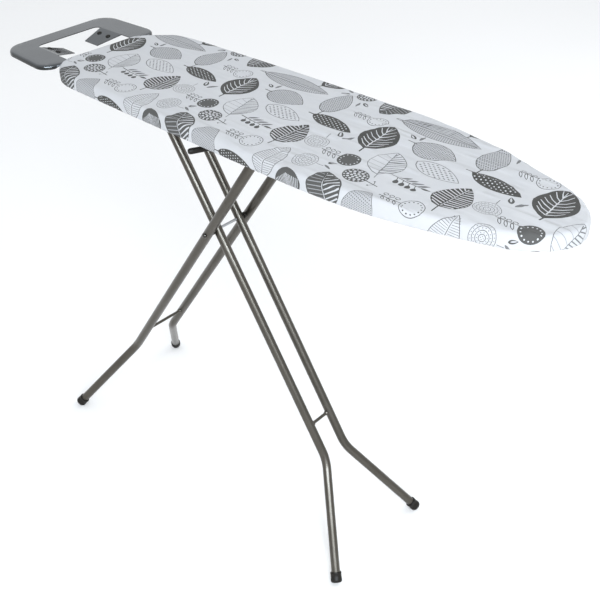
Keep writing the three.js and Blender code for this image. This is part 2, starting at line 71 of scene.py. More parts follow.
PIVOT = middle("pivot_rod")
TOP_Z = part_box("board_cover")[1].z
BOARD_DEPTH = TOP_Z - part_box("board_cover")[0].z
REST_TOP_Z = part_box("iron_rest_plate")[1].z


# ---------------------------------------------------------------- camera, light and floor

def aim(obj, place, target):
    obj.location = place
    obj.rotation_euler = (Vector(target) - Vector(place)).to_track_quat("-Z", "Y").to_euler()


def add_camera():
    data = bpy.data.cameras.new("camera")
    data.lens = 53.4
    data.sensor_width = 36
    camera = bpy.data.objects.new("camera", data)
    bpy.context.scene.collection.objects.link(camera)
    aim(camera, (1.0194, -1.0241, 1.5343), (0.0857, 0, 0.534))
    bpy.context.scene.camera = camera


def add_area_light(name, place, target, size, power, colour=(1, 1, 1)):
    data = bpy.data.lights.new(name, "AREA")
    data.shape = "RECTANGLE"
    data.size, data.size_y = size
    data.energy = power
    data.color = colour
    light = bpy.data.objects.new(name, data)
    bpy.context.scene.collection.objects.link(light)
    aim(light, place, target)
    return light


def add_studio():
    scene = bpy.context.scene
    scene.view_settings.view_transform = "Standard"
    scene.world = bpy.data.worlds.new("studio")
    scene.world.use_nodes = True
    background = scene.world.node_tree.nodes["Background"]
    background.inputs["Color"].default_value = (0.96, 0.98, 1.0, 1)
    background.inputs["Strength"].default_value = 0.88
    key = add_area_light("key_light", (2.1, -1.65, 1.95), (0, 0, 0.6), (0.9, 2.4), 80, (0.9, 0.95, 1.0))
    key.visible_glossy = False
    gloss = add_area_light("gloss_panel", (2.0, -1.85, 2.6), (0, 0, 0.6), (3.4, 1.3), 300, (0.80, 0.90, 1.0))
    gloss.visible_diffuse = False
    add_area_light("back_light", (0.8, 2.8, 2.4), (0, 0, 0.7), (2.0, 1.2), 20)
    mesh = bpy.data.meshes.new("floor")
    reach = 20
    corners = [(-reach, -reach, 0), (reach, -reach, 0), (reach, reach, 0), (-reach, reach, 0)]
    mesh.from_pydata(corners, [], [(0, 1, 2, 3)])
    floor = bpy.data.objects.new("floor", mesh)
    bpy.context.scene.collection.objects.link(floor)
    mesh.materials.append(floor_material())


# ---------------------------------------------------------------- materials

THREAD_SCALE = 520.0


def new_material(name, roughness, metallic=0.0):
    material = bpy.data.materials.new(name)
    material.use_nodes = True
    tree = material.node_tree
    shader = tree.nodes["Principled BSDF"]
    shader.inputs["Roughness"].default_value = roughness
    shader.inputs["Metallic"].default_value = metallic
    return material, tree, shader


def add_node(tree, kind, inputs=None, **settings):
    """A node with its settings, and its inputs set to a value or linked to another node's output."""
    node = tree.nodes.new(kind)
    for name, value in settings.items():
        setattr(node, name, value)
    for name, value in (inputs or {}).items():
        if isinstance(value, bpy.types.NodeSocket):
            tree.links.new(value, node.inputs[name])
        else:
            node.inputs[name].default_value = value
    return node


def object_coordinates(tree, stretch=(1, 1, 1)):
    place = add_node(tree, "ShaderNodeTexCoord")
    inputs = {"Vector": place.outputs["Object"], "Scale": stretch}
    return add_node(tree, "ShaderNodeMapping", inputs).outputs[0]


def noise_value(tree, size, detail=2, stretch=(1, 1, 1)):
    """Noise whose lumps are about size metres across."""
    coordinates = object_coordinates(tree, stretch)
    inputs = {"Vector": coordinates, "Scale": 1 / size, "Detail": detail}
    return add_node(tree, "ShaderNodeTexNoise", inputs).outputs["Fac"]


def ramp(tree, value, low, high, start=0.3, end=0.7):
    """Blends from the low colour to the high one as value goes from start to end."""
    node = add_node(tree, "ShaderNodeValToRGB", {"Fac": value})
    for stop, place, colour in zip(node.color_ramp.elements, (start, end), (low, high)):
        stop.position = place
        stop.color = (*colour, 1)
    return node.outputs["Color"]


def to_range(tree, value, low, high):
    inputs = {"Value": value, "From Min": 0.3, "From Max": 0.7, "To Min": low, "To Max": high}
    return add_node(tree, "ShaderNodeMapRange", inputs).outputs["Result"]


def bump(tree, shader, height, distance, strength=1.0):
    inputs = {"Height": height, "Distance": distance, "Strength": strength}
    node = add_node(tree, "ShaderNodeBump", inputs)
    tree.links.new(node.outputs["Normal"], shader.inputs["Normal"])
    return node


def multiply_colours(tree, first, second):
    inputs = {"Fac": 1.0, "Color1": first, "Color2": second}
    return add_node(tree, "ShaderNodeMixRGB", inputs, blend_type="MULTIPLY").outputs["Color"]


def floor_material():
    material, tree, shader = new_material("floor_white", 0.9)
    tone = noise_value(tree, 1.5)
    tree.links.new(ramp(tree, tone, (0.93, 0.93, 0.93), (0.96, 0.96, 0.96)), shader.inputs["Base Color"])
    return material


def cover_material():
    """Cotton printed from the mesh's ink colours, with a plain weave and slight tone changes."""
    material, tree, shader = new_material("printed_cotton", 0.82)
    shader.inputs["Specular IOR Level"].default_value = 0.3
    shader.inputs["Sheen Weight"].default_value = 0.04
    shader.inputs["Sheen Roughness"].default_value = 0.5
    ink = add_node(tree, "ShaderNodeAttribute", attribute_name="ink").outputs["Color"]
    mottle = ramp(tree, noise_value(tree, 0.03, 4), (0.965, 0.97, 0.98), (1, 1, 1))
    tree.links.new(multiply_colours(tree, ink, mottle), shader.inputs["Base Color"])
    threads = []
    for direction in ("X", "Y"):
        inputs = {"Vector": object_coordinates(tree), "Scale": THREAD_SCALE, "Distortion": 1.5}
        wave = add_node(tree, "ShaderNodeTexWave", inputs, bands_direction=direction)
        threads.append(wave.outputs["Fac"])
    weave = add_node(tree, "ShaderNodeMath", {0: threads[0], 1: threads[1]}, operation="MULTIPLY").outputs[0]
    bump(tree, shader, weave, 0.00015, 0.35)
    return material


def plain_cloth_material():
    material, tree, shader = new_material("hem_cotton", 0.85)
    shader.inputs["Sheen Weight"].default_value = 0.15
    tone = noise_value(tree, 0.004, 3)
    tree.links.new(ramp(tree, tone, (0.60, 0.62, 0.66), (0.70, 0.72, 0.76)), shader.inputs["Base Color"])
    bump(tree, shader, tone, 0.0004, 0.6)
    return material


def foam_material():
    material, tree, shader = new_material("pad_foam", 0.95)
    tone = noise_value(tree, 0.0015, 3)
    tree.links.new(ramp(tree, tone, (0.60, 0.56, 0.44), (0.76, 0.73, 0.62)), shader.inputs["Base Color"])
    bump(tree, shader, tone, 0.0004, 0.7)
    return material


def metal_material(name, dark, light, roughness, metallic, grain, coat=0.0, depth=0.00004, rim=1.0):
    """Metal or metallic lacquer: broad tone changes, a fine grain and a slight unevenness of its gloss.

    Faces that don't look up are rim times as bright: painted shade, standing in for the dark reflection along
    a downturned lip.
    """
    material, tree, shader = new_material(name, roughness, metallic)
    shader.inputs["Coat Weight"].default_value = coat
    shader.inputs["Coat Roughness"].default_value = 0.12
    colour = ramp(tree, noise_value(tree, 0.05, 3), dark, light)
    # painted shade: the colour is darkened on faces that look sideways or down
    if rim < 1:
        normal = add_node(tree, "ShaderNodeTexCoord").outputs["Normal"]
        facing = add_node(tree, "ShaderNodeSeparateXYZ", {0: normal})
        painted_shade = ramp(tree, facing.outputs["Z"], (rim, rim * 0.96, rim * 0.9), (1, 1, 1), 0.25, 0.92)
        colour = multiply_colours(tree, colour, painted_shade)
    tree.links.new(colour, shader.inputs["Base Color"])
    fine = noise_value(tree, grain)
    tree.links.new(to_range(tree, fine, roughness * 0.85, roughness * 1.15), shader.inputs["Roughness"])
    bump(tree, shader, fine, depth, 0.5)
    return material


def plastic_material():
    material, tree, shader = new_material("black_plastic", 0.45)
    shader.inputs["Specular IOR Level"].default_value = 0.15
    tone = noise_value(tree, 0.0008, 2)
    colour = ramp(tree, tone, (0.010, 0.009, 0.007), (0.018, 0.016, 0.014))
    tree.links.new(colour, shader.inputs["Base Color"])
    bump(tree, shader, tone, 0.00008, 0.5)
    return material


# ---------------------------------------------------------------- mesh helpers

def add_piece(name, verts, faces, material, stands_for=(), body=None, sharp=35, bevel=0.0):
    """A piece from vertices and faces. It rides on the body of the CAD nodes it stands for."""
    mesh = bpy.data.meshes.new(name)
    mesh.from_pydata(verts, [], faces)
    tidy = bmesh.new()
    tidy.from_mesh(mesh)
    bmesh.ops.recalc_face_normals(tidy, faces=tidy.faces)
    tidy.to_mesh(mesh)
    tidy.free()
    return dress(mesh, name, material, stands_for, body, sharp, bevel)


def dress(mesh, name, material, stands_for=(), body=None, sharp=35, bevel=0.0):
    mesh.materials.clear()
    mesh.materials.append(material)
    mesh.shade_smooth()
    mesh.set_sharp_from_angle(angle=math.radians(sharp))
    obj = bpy.data.objects.new(name, mesh)
    bpy.context.scene.collection.objects.link(obj)
    if bevel:
        modifier = obj.modifiers.new("edges", "BEVEL")
        modifier.width = bevel
        modifier.segments = 2
        modifier.angle_limit = math.radians(40)
        modifier.harden_normals = True
    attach(obj, body or BODY_OF[stands_for[0]])
    if stands_for:
        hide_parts(*stands_for)
    return obj


def loft(stations, sides):
    """A closed skin through round sections. Each station is (centre, direction, radius)."""
    verts, faces, rows = [], [], []
    across = None
    for centre, way, radius in stations:
        way = Vector(way).normalized()
        across = way.orthogonal() if across is None else across
        across = (across - way * across.dot(way)).normalized()
        beside = way.cross(across)
        rows.append(range(len(verts), len(verts) + (sides if radius > 1e-6 else 1)))
        for index in range(len(rows[-1])):
            turn = 2 * math.pi * index / sides
            verts.append(Vector(centre) + (across * math.cos(turn) + beside * math.sin(turn)) * radius)
    for first, second in zip(rows, rows[1:]):
        for index in range(sides):
            corners = [first[index % len(first)], first[(index + 1) % len(first)],
                       second[(index + 1) % len(second)], second[index % len(second)]]
            faces.append(list(dict.fromkeys(corners)))
    faces += [list(row) for row in (rows[0], rows[-1]) if len(row) > 1]
    return verts, faces


def lathe(origin, way, profile, sides=32):
    """A turned shape: the profile lists (radius, height) along way from origin."""
    way = Vector(way).normalized()
    return loft([(Vector(origin) + way * height, way, radius) for radius, height in profile], sides)


def straight_rod(start, end, radius, chamfer=0.0006, sides=28):
    length = (Vector(end) - Vector(start)).length
    profile = [(0, 0), (radius - chamfer, 0), (radius, chamfer), (radius, length - chamfer),
               (radius - chamfer, length), (0, length)]
    return lathe(start, Vector(end) - Vector(start), profile, sides)


# ---------------------------------------------------------------- outlines and folded sheets

def bezier(points, steps):
    t = np.linspace(0, 1, steps + 1)[:, None]
    p = np.array(points, float)
    return (1 - t) ** 3 * p[0] + 3 * (1 - t) ** 2 * t * p[1] + 3 * (1 - t) * t ** 2 * p[2] + t ** 3 * p[3]


# One side of the board from its square end to the nose, as cubic curves with their step counts. The cover's
# corners differ: the near one is pulled full and square, the far one is drawn in.
END_X, NOSE_X = -331, 715
CORNERS = {
    "near": [
        ([(-330, 92), (-322, 118), (-303, 150), (-250, 151)], 24),
        ([(-250, 151), (-150, 152.5), (50, 153), (200, 153)], 30),
    ],
    "far": [
        ([(-330, 62), (-327, 84), (-310, 98), (-280, 127)], 16),
        ([(-280, 127), (-268, 137), (-240, 139.8), (-200, 142.5)], 14),
        ([(-200, 142.5), (-120, 147.5), (50, 153), (200, 153)], 28),
    ],
}
SIDE_CURVES = [
    ([(200, 153), (300, 153), (390, 151.5), (457, 139)], 24),
    ([(457, 139), (515, 127), (588, 107), (640, 88)], 20),
    ([(640, 88), (674, 73), (NOSE_X, 40), (NOSE_X, 0)], 36),
]


def side_outline(corner):
    curves = [bezier(points, steps) for points, steps in CORNERS[corner] + SIDE_CURVES]
    return np.vstack([curves[0], *(curve[1:] for curve in curves[1:])])


def board_outline():
    near, far = side_outline("near"), side_outline("far")
    return np.vstack([near[:-1] * (1, -1), far[::-1]])


def inset(loop, distance):
    """The loop moved in by a distance, each point along the mean of its two edges' normals."""
    before = loop - np.roll(loop, 1, 0)
    after = np.roll(loop, -1, 0) - loop
    before /= np.linalg.norm(before, axis=1)[:, None]
    after /= np.linalg.norm(after, axis=1)[:, None]
    along = before + after
    along /= np.linalg.norm(along, axis=1)[:, None]
    lengthen = 1 / np.maximum((before * along).sum(1), 0.5)
    inward = np.stack([-along[:, 1], along[:, 0]], 1)
    return loop + inward * (distance * lengthen)[:, None]


def rounded_box(x0, x1, y0, y1, r0, r1, steps=14):
    """A box with rounded corners: radius r0 at its x0 end and r1 at its x1 end."""
    corners = [(x1 - r1, y0 + r1, r1, -90), (x1 - r1, y1 - r1, r1, 0), (x0 + r0, y1 - r0, r0, 90),
               (x0 + r0, y0 + r0, r0, 180)]
    points = []
    for x, y, r, start in corners:
        for turn in np.linspace(0, 90, steps + 1):
            angle = math.radians(start + turn)
            points.append((x + r * math.cos(angle), y + r * math.sin(angle)))
    return np.array(points)


def past_loop(points, loop):
    """For each point: the nearest point on a convex loop, the way out, how far out, and the way round."""
    start = loop
    edge = np.roll(loop, -1, 0) - loop
    length = np.linalg.norm(edge, axis=1)
    round_to = np.concatenate([[0], np.cumsum(length)[:-1]])
    found = []
    for chunk in np.array_split(points, max(1, len(points) // 4000)):
        rel = chunk[:, None, :] - start[None]
        t = np.clip((rel * edge[None]).sum(2) / (length ** 2)[None], 0, 1)
        gap = rel - t[..., None] * edge[None]
        best = np.argmin((gap ** 2).sum(2), 1)
        rows = np.arange(len(chunk))
        inside = (edge[None, :, 0] * rel[..., 1] - edge[None, :, 1] * rel[..., 0] >= 0).all(1)
        away = gap[rows, best]
        distance = np.where(inside, 0, np.linalg.norm(away, axis=1))
        way = away / np.maximum(np.linalg.norm(away, axis=1), 1e-9)[:, None]
        base = np.where(inside[:, None], chunk, chunk - away)
        found.append((base, way, distance, round_to[best] + t[rows, best] * length[best]))
    return [np.concatenate(parts) for parts in zip(*found)]


def fold_profile(s, radius, drop, lower=0.0):
    """How far out and how far down a sheet is at s past its flat top: round the edge, down, and in under."""
    turn = np.clip(s / radius, 0, math.pi / 2)
    out = radius * np.sin(turn)
    down = radius * (1 - np.cos(turn)) + np.clip(s - radius * math.pi / 2, 0, drop)
    if lower:
        rest = s - radius * math.pi / 2 - drop
        turn = np.clip(rest / lower, 0, math.pi / 2)
        out = out - lower * (1 - np.cos(turn)) - np.maximum(rest - lower * math.pi / 2, 0)
        down = down + lower * np.sin(turn)
    return out, down


def hex_grid(loop, pitch):
    low, high = loop.min(0), loop.max(0)
    rows = np.arange(low[1], high[1], pitch * 0.866)
    columns = np.arange(low[0], high[0], pitch)
    return [(x + pitch / 2 * (i % 2), y) for i, y in enumerate(rows) for x in columns]


def cut_sheet(domains, shapes=(), holes=(), creases=(), grid=8.0):
    """Triangles that fill the domains, less the holes, cut along every shape's outline and every crease.

    Gives the points, the triangles, and for each triangle the number of the last shape that covers it, or -1.
    """
    loops = [*domains, *holes, *shapes]
    first_hole, first_shape = len(domains), len(domains) + len(holes)
    verts, faces, edges = [], [], []
    for loop in loops:
        area = sum(a[0] * b[1] - a[1] * b[0] for a, b in zip(loop, [*loop[1:], loop[0]]))
        ordered = loop if area > 0 else loop[::-1]
        faces.append(list(range(len(verts), len(verts) + len(ordered))))
        verts += [Vector((float(x), float(y))) for x, y in ordered]
    for crease, closed in creases:
        first = len(verts)
        verts += [Vector((float(x), float(y))) for x, y in crease]
        edges += [(i, i + 1) for i in range(first, len(verts) - 1)]
        if closed:
            edges.append((len(verts) - 1, first))
    verts += [Vector(p) for domain in domains for p in hex_grid(np.array(domain), grid)]
    points, _, triangles, _, _, source = geometry.delaunay_2d_cdt(verts, edges, faces, 0, 0.01, True)
    kept, top = [], []
    for triangle, covers in zip(triangles, source):
        if covers and min(covers) < first_hole and not any(first_hole <= c < first_shape for c in covers):
            kept.append(tuple(triangle))
            top.append(max(max(covers) - first_shape, -1))
    used = sorted({i for triangle in kept for i in triangle})
    order = {old: new for new, old in enumerate(used)}
    points = np.array([points[i] for i in used])
    return points, [tuple(order[i] for i in triangle) for triangle in kept], top


def in_frame(flat, z):
    """Millimetres from the legs' crossing to metres in the frame, at height z metres."""
    return np.column_stack([flat[:, 0] * MM + PIVOT.x, flat[:, 1] * MM, z])


# ---------------------------------------------------------------- the print

CHARCOAL = (0.050, 0.049, 0.045)
SLATE = (0.074, 0.074, 0.071)
MID_GREY = (0.145, 0.147, 0.150)
PALE_GREY = (0.29, 0.295, 0.305)
TINT = (0.395, 0.403, 0.417)
CLOTH = (0.515, 0.525, 0.542)


class Drawing:
    """Flat shapes in painter's order, each (ink, points), in millimetres, growing up from (0, 0)."""

    def __init__(self):
        self.shapes = []

    def shape(self, ink, points):
        self.shapes.append((ink, points))

    def stroke(self, ink, points, width, tip=None):
        """A line through points that goes from width to tip wide."""
        tip = width if tip is None else tip
        line = np.array(points, float)
        way = np.gradient(line, axis=0)
        way /= np.linalg.norm(way, axis=1)[:, None]
        half = np.linspace(width, tip, len(line))[:, None] / 2
        beside = np.stack([way[:, 1], -way[:, 0]], 1) * half
        self.shape(ink, [*map(tuple, line + beside), *map(tuple, (line - beside)[::-1])])

    def disc(self, ink, x, y, rx, ry=None, sides=10):
        ry = rx if ry is None else ry
        turns = [2 * math.pi * i / sides for i in range(sides)]
        self.shape(ink, [(x + rx * math.cos(a), y + ry * math.sin(a)) for a in turns])

    def leaf(self, ink, length, width, base=(0, 0), angle=0, fullness=0.8, steps=10):
        self.shape(ink, turned_points(leaf_points(length, width, fullness, steps), angle, base))

    def add(self, other, x, y, angle, scale=1.0):
        for ink, points in other.shapes:
            self.shapes.append((ink, turned_points(points, angle, (x, y), scale)))


def turned_points(points, angle, move, scale=1.0):
    c, s = math.cos(math.radians(angle)) * scale, math.sin(math.radians(angle)) * scale
    return [(x * c - y * s + move[0], x * s + y * c + move[1]) for x, y in points]


def leaf_half(t, width, fullness):
    """Half the leaf's width at t of its length. A fullness under 1 puts the widest place nearer the stem."""
    return width / 2 * math.sin(math.pi * min(max(t, 0), 1) ** fullness) ** 0.8


def leaf_points(length, width, fullness=0.8, steps=10):
    ts = [i / steps for i in range(steps + 1)]
    right = [(leaf_half(t, width, fullness), t * length) for t in ts]
    left = [(-leaf_half(t, width, fullness), t * length) for t in ts[1:-1]]
    return right + left[::-1]


def outlined_leaf(length, width, line, ink, fill=CLOTH, fullness=0.8):
    drawing = Drawing()
    drawing.leaf(ink, length, width, fullness=fullness, steps=14)
    inner = (length - 3 * line) / length
    drawing.leaf(fill, length * inner, width - 2 * line, base=(0, 1.5 * line), fullness=fullness, steps=14)
    return drawing


def veins(drawing, ink, length, width, count, line, side=(1, -1), rise=0.16, reach=0.82, fullness=0.8):
    """Lines from the midrib up to near the leaf's edge."""
    for i in range(count):
        start = 0.10 + 0.74 * i / count
        end = min(start + rise, 0.97)
        for sign in side:
            edge = sign * leaf_half(end, width, fullness) * reach
            middle_point = (edge * 0.55, length * (start + (end - start) * 0.42))
            drawing.stroke(ink, [(0, length * start), middle_point, (edge, length * end)], line, line * 0.6)


def solid_leaf():
    drawing = Drawing()
    drawing.stroke(CHARCOAL, [(0, -9), (0.6, 3)], 2.2)
    drawing.leaf(CHARCOAL, 72, 52, fullness=0.95, steps=16)
    drawing.stroke(CLOTH, [(0, 9), (0, 40), (0.5, 66)], 1.8, 0.9)
    veins(drawing, CLOTH, 72, 52, 7, 1.5, fullness=0.95, rise=0.20, reach=0.74)
    return drawing


def two_tone_leaf():
    """A dark leaf: fine pale lines on one side of the midrib, broad bars on the other."""
    drawing = Drawing()
    drawing.stroke(SLATE, [(-1, -12), (0, 2)], 1.8)
    drawing.leaf(SLATE, 64, 50, fullness=0.9, steps=14)
    for i in range(9):
        start = 0.07 + 0.09 * i
        reach = leaf_half(start + 0.10, 50, 0.9) - 2.0
        drawing.stroke(CLOTH, [(1.4, 64 * start), (reach, 64 * (start + 0.09))], 1.3, 2.2)
    for i in range(10):
        start = 0.10 + 0.08 * i
        reach = leaf_half(start + 0.06, 50, 0.9) - 2
        drawing.stroke(PALE_GREY, [(-1.2, 64 * start), (-reach, 64 * (start + 0.06))], 1.1)
    drawing.stroke(CLOTH, [(0, 2), (0, 60)], 1.1, 0.8)
    return drawing


def comb_leaf():
    """Striped on both sides of a pale midrib."""
    drawing = Drawing()
    drawing.stroke(CHARCOAL, [(0, -11), (0, 3)], 1.7)
    drawing.leaf(CHARCOAL, 62, 48, fullness=0.72, steps=14)
    for i in range(11):
        start = 0.07 + 0.078 * i
        for sign in (1, -1):
            edge = sign * (leaf_half(start + 0.05, 48, 0.72) - 1.2)
            drawing.stroke(CLOTH, [(sign * 1.6, 62 * start), (edge, 62 * (start + 0.07))], 1.5, 1.7)
    drawing.stroke(CLOTH, [(0, 4), (0, 58)], 1.1)
    return drawing


def dotted_leaf():
    drawing = Drawing()
    drawing.stroke(CHARCOAL, [(1, -9), (0, 3)], 1.8)
    drawing.leaf(CHARCOAL, 78, 29, fullness=0.85, steps=14)
    for row in range(12):
        y = 9 + row * 5.2
        room = leaf_half(y / 78, 29, 0.85) - 2.6
        for x in ((-7.5, -2.5, 2.5, 7.5) if row % 2 else (-10, -5, 0, 5, 10)):
            if abs(x) < room:
                drawing.disc(CLOTH, x, y, 1.0, 1.3, 6)
    return drawing


def dashed_leaf():
    drawing = outlined_leaf(74, 34, 1.1, MID_GREY)
    for row in range(12):
        y = 8 + row * 5.0
        room = leaf_half(y / 74, 34, 0.8) - 2.4
        for x in ((-12, -6, 0, 6, 12) if row % 2 else (-9, -3, 3, 9)):
            if abs(x) < room:
                drawing.stroke(MID_GREY, [(x, y), (x * 1.04, y + 3.4)], 2.2, 1.4)
    return drawing


def stippled_leaf(ink=MID_GREY, width=40):
    drawing = outlined_leaf(64, width, 0.9, ink, TINT)
    drawing.stroke(ink, [(0, -10), (0, 4)], 1.6)
    for row in range(19):
        y = 5 + row * 3.0
        room = leaf_half(y / 64, width, 0.8) - 1.6
        for column in range(-8, 9):
            x = (column + 0.5 * (row % 2)) * 2.9
            if abs(x) < room:
                drawing.disc(ink, x, y, 0.95, 0.95, 4)
    return drawing


def feather_leaf():
    drawing = outlined_leaf(122, 36, 1.1, MID_GREY, TINT, fullness=0.9)
    for i in range(33):
        start = 0.05 + 0.027 * i
        for sign in (1, -1):
            edge = sign * (leaf_half(start + 0.03, 36, 0.9) - 0.8)
            drawing.stroke(MID_GREY, [(sign * 2.6, 122 * start), (edge, 122 * (start + 0.035))], 0.75)
    for x in (-2.2, 2.2):
        drawing.stroke(SLATE, [(x * 0.4, -8), (x, 12), (x, 80), (x * 0.2, 116)], 0.9)
    return drawing


def half_hatched_leaf():
    drawing = outlined_leaf(66, 50, 0.9, MID_GREY, fullness=0.9)
    drawing.stroke(MID_GREY, [(0, -9), (0, 62)], 1.1)
    for i in range(11):
        start = 0.06 + 0.078 * i
        edge = leaf_half(start + 0.12, 50, 0.9) - 0.8
        drawing.stroke(MID_GREY, [(0.4, 66 * start), (edge, 66 * (start + 0.12))], 1.6)
    for i in range(5):
        start = 0.12 + 0.15 * i
        edge = leaf_half(start + 0.12, 50, 0.9) - 0.8
        drawing.stroke(PALE_GREY, [(-0.4, 66 * start), (-edge, 66 * (start + 0.12))], 0.9)
    return drawing


def ladder_leaf():
    """A broad leaf of fine cross lines with a dark split midrib."""
    drawing = outlined_leaf(92, 50, 1.1, SLATE, fullness=0.8)
    for i in range(19):
        y = 7 + i * 4.3
        room = leaf_half(y / 92, 50, 0.8) - 1.0
        if room > 3:
            drawing.stroke(MID_GREY, [(2.2, y), (room, y + 3)], 0.9)
            drawing.stroke(MID_GREY, [(-2.2, y), (-room, y + 3)], 0.9)
    drawing.stroke(CHARCOAL, [(0, -10), (0.8, 30), (-0.5, 88)], 1.5, 0.8)
    return drawing


def seed_twig(length, ink, sign=1):
    """A short stem with leaflets on one side and hanging buds on the other."""
    drawing = Drawing()
    drawing.stroke(ink, [(0, 0), (1.0 * sign, length * 0.5), (0, length)], 1.5, 1.1)
    for i in range(3):
        y = length * (0.15 + 0.26 * i)
        drawing.leaf(ink, 15, 5, base=(0.6 * sign, y), angle=-52 * sign)
        drawing.leaf(CLOTH, 11, 2.8, base=(1.9 * sign, y + 1.1), angle=-52 * sign)
        drawing.stroke(ink, [(0, y), (-5 * sign, y + 3)], 0.9)
        drawing.disc(ink, -6.6 * sign, y + 1.5, 3.1, 4.0, 10)
        drawing.disc(CLOTH, -6.6 * sign, y + 1.5, 2.0, 2.9, 8)
    return drawing


def disc_flower(filled):
    """A round flower with a ring of dots, on a leafy twig."""
    drawing = seed_twig(36, SLATE)
    ring, dots = (SLATE, CLOTH) if filled else (CLOTH, SLATE)
    drawing.disc(SLATE, 0, 52, 18, 17, 26)
    drawing.disc(ring, 0, 52, 17, 16, 26)
    for i in range(14):
        turn = 2 * math.pi * i / 14
        drawing.disc(dots, 13.6 * math.cos(turn), 52 + 12.8 * math.sin(turn), 1.25, 1.25, 6)
    return drawing


def pebble_flower():
    """An oval filled with pale pebbles, on a twig."""
    drawing = Drawing()
    drawing.stroke(SLATE, [(0, 0), (0, 24)], 1.6)
    for sign in (1, -1):
        drawing.stroke(SLATE, [(0, 7), (sign * 6, 11)], 0.9)
        drawing.disc(SLATE, sign * 7, 12, 1.6, 1.6, 6)
    drawing.disc(SLATE, 0, 42, 18, 20, 24)
    for ring, count in ((0, 1), (5.6, 6), (10.8, 11), (15.2, 16)):
        for i in range(count):
            turn = 2 * math.pi * (i + 0.5 * (ring > 6)) / count
            size = 2.3 if ring < 15 else 1.5
            drawing.disc(CLOTH, ring * math.cos(turn), 42 + ring * 1.12 * math.sin(turn), size, size, 7)
    return drawing


def berry_twig():
    drawing = Drawing()
    drawing.stroke(SLATE, [(0, 0), (1.5, 25), (0, 52)], 1.7, 0.9)
    for i in range(4):
        y = 12 + 10 * i
        drawing.stroke(SLATE, [(0.8, y), (7, y + 3)], 1.1)
        drawing.disc(SLATE, 9.5, y + 3.5, 4.2, 4.0, 10)
        drawing.leaf(MID_GREY, 17, 5, base=(-0.4, y + 2), angle=48)
    drawing.leaf(SLATE, 15, 5, base=(0, 50), angle=8)
    return drawing


def ringed_oval():
    drawing = Drawing()
    drawing.stroke(MID_GREY, [(1, -10), (0, 2)], 1.3)
    for i, size in enumerate((23, 21.9, 17.5, 16.4, 12.0, 10.9, 6.4, 5.2)):
        drawing.disc(CLOTH if i % 2 else MID_GREY, 0, 24, size, size * 0.86, 26)
    for ring, count in ((19.7, 22), (14.2, 16), (8.6, 10), (2.6, 4)):
        for i in range(count):
            turn = 2 * math.pi * i / count
            drawing.disc(MID_GREY, ring * math.cos(turn), 24 + ring * 0.86 * math.sin(turn), 0.9, 0.9, 4)
    return drawing


def fan_leaf():
    drawing = Drawing()
    drawing.leaf(SLATE, 60, 54, fullness=1.1, steps=16)
    for i in range(-7, 8):
        turn = i / 8
        top = 0.80 - 0.18 * abs(turn)
        edge = turn * leaf_half(top, 56, 1.15)
        drawing.stroke(CLOTH, [(0.3 * i, 7), (edge * 0.85, 60 * top * 0.62), (edge, 60 * top)], 0.8, 1.5)
    drawing.stroke(SLATE, [(0, -8), (0, 6)], 1.5)
    return drawing


def sprig():
    drawing = Drawing()
    drawing.leaf(SLATE, 19, 9, angle=20)
    drawing.leaf(CLOTH, 13, 3, base=(-1.8, 4), angle=20)
    drawing.leaf(MID_GREY, 21, 6, base=(6, -4), angle=-42)
    return drawing


# Motifs of one repeat: the drawing, half its height, the place of its middle, the direction it grows in
# (0 is up) and its size.
REPEAT = (317.0, 400.0)
MOTIFS = [
    (solid_leaf(), 36, (20, 28), 5, 1.28),
    (solid_leaf(), 36, (143, 163), -24, 1.10),
    (pebble_flower(), 31, (222, 156), 172, 1.05),
    (two_tone_leaf(), 32, (286, 140), 166, 1.15),
    (dashed_leaf(), 37, (42, 176), -86, 1.0),
    (comb_leaf(), 31, (220, -52), -4, 1.25),
    (two_tone_leaf(), 32, (52, -150), 24, 1.25),
    (fan_leaf(), 30, (304, -170), 18, 0.95),
    (dotted_leaf(), 39, (243, 20), -99, 1.22),
    (dotted_leaf(), 39, (190, -172), -97, 1.0),
    (dashed_leaf(), 37, (156, -4), -101, 1.22),
    (stippled_leaf(SLATE, 44), 32, (116, 46), -94, 1.3),
    (stippled_leaf(SLATE, 36), 32, (199, 87), 3, 1.34),
    (stippled_leaf(MID_GREY, 48), 32, (118, -158), -12, 1.15),
    (feather_leaf(), 61, (84, 106), -91, 1.30),
    (half_hatched_leaf(), 33, (84, -32), 14, 1.22),
    (ladder_leaf(), 46, (252, -136), -4, 0.96),
    (ringed_oval(), 22, (271, -46), 176, 0.95),
    (ringed_oval(), 22, (302, -108), 94, 1.0),
    (disc_flower(True), 35, (14, -62), -92, 1.1),
    (disc_flower(False), 35, (281, 74), -94, 1.06),
    (disc_flower(False), 35, (172, -116), -90, 1.12),
    (pebble_flower(), 31, (84, -96), 82, 1.1),
    (berry_twig(), 32, (148, -62), -96, 1.16),
    (sprig(), 8, (288, -6), 10, 1.1),
    (sprig(), 8, (340, -92), -70, 0.8),
    (sprig(), 8, (182, 132), 110, 0.9),
    (sprig(), 8, (62, 68), 40, 0.9),
    (sprig(), 8, (238, 112), -130, 0.8),
]


def printed_shapes(domain):
    """The repeat's motifs laid over the domain, as (ink, points), leaving out those that miss it."""
    low, high = domain.min(0), domain.max(0)
    laid = []
    for across in range(-3, 4):
        for along in range(-2, 3):
            for drawing, half, (x, y), angle, scale in MOTIFS:
                sway = half * scale
                turn = math.radians(angle)
                centre = (x + along * REPEAT[0], y + across * REPEAT[1])
                reach = 2.2 * sway
                if (centre <= low - reach).any() or (centre >= high + reach).any():
                    continue
                stem = (centre[0] + sway * math.sin(turn), centre[1] - sway * math.cos(turn))
                placed = Drawing()
                placed.add(drawing, *stem, angle, scale)
                laid += placed.shapes
    return [(ink, points) for ink, points in laid if touches(points, low, high)]


def touches(points, low, high):
    block = np.array(points)
    return bool((block.max(0) > low).all() and (block.min(0) < high).all())


# ---------------------------------------------------------------- cover, hem and foam

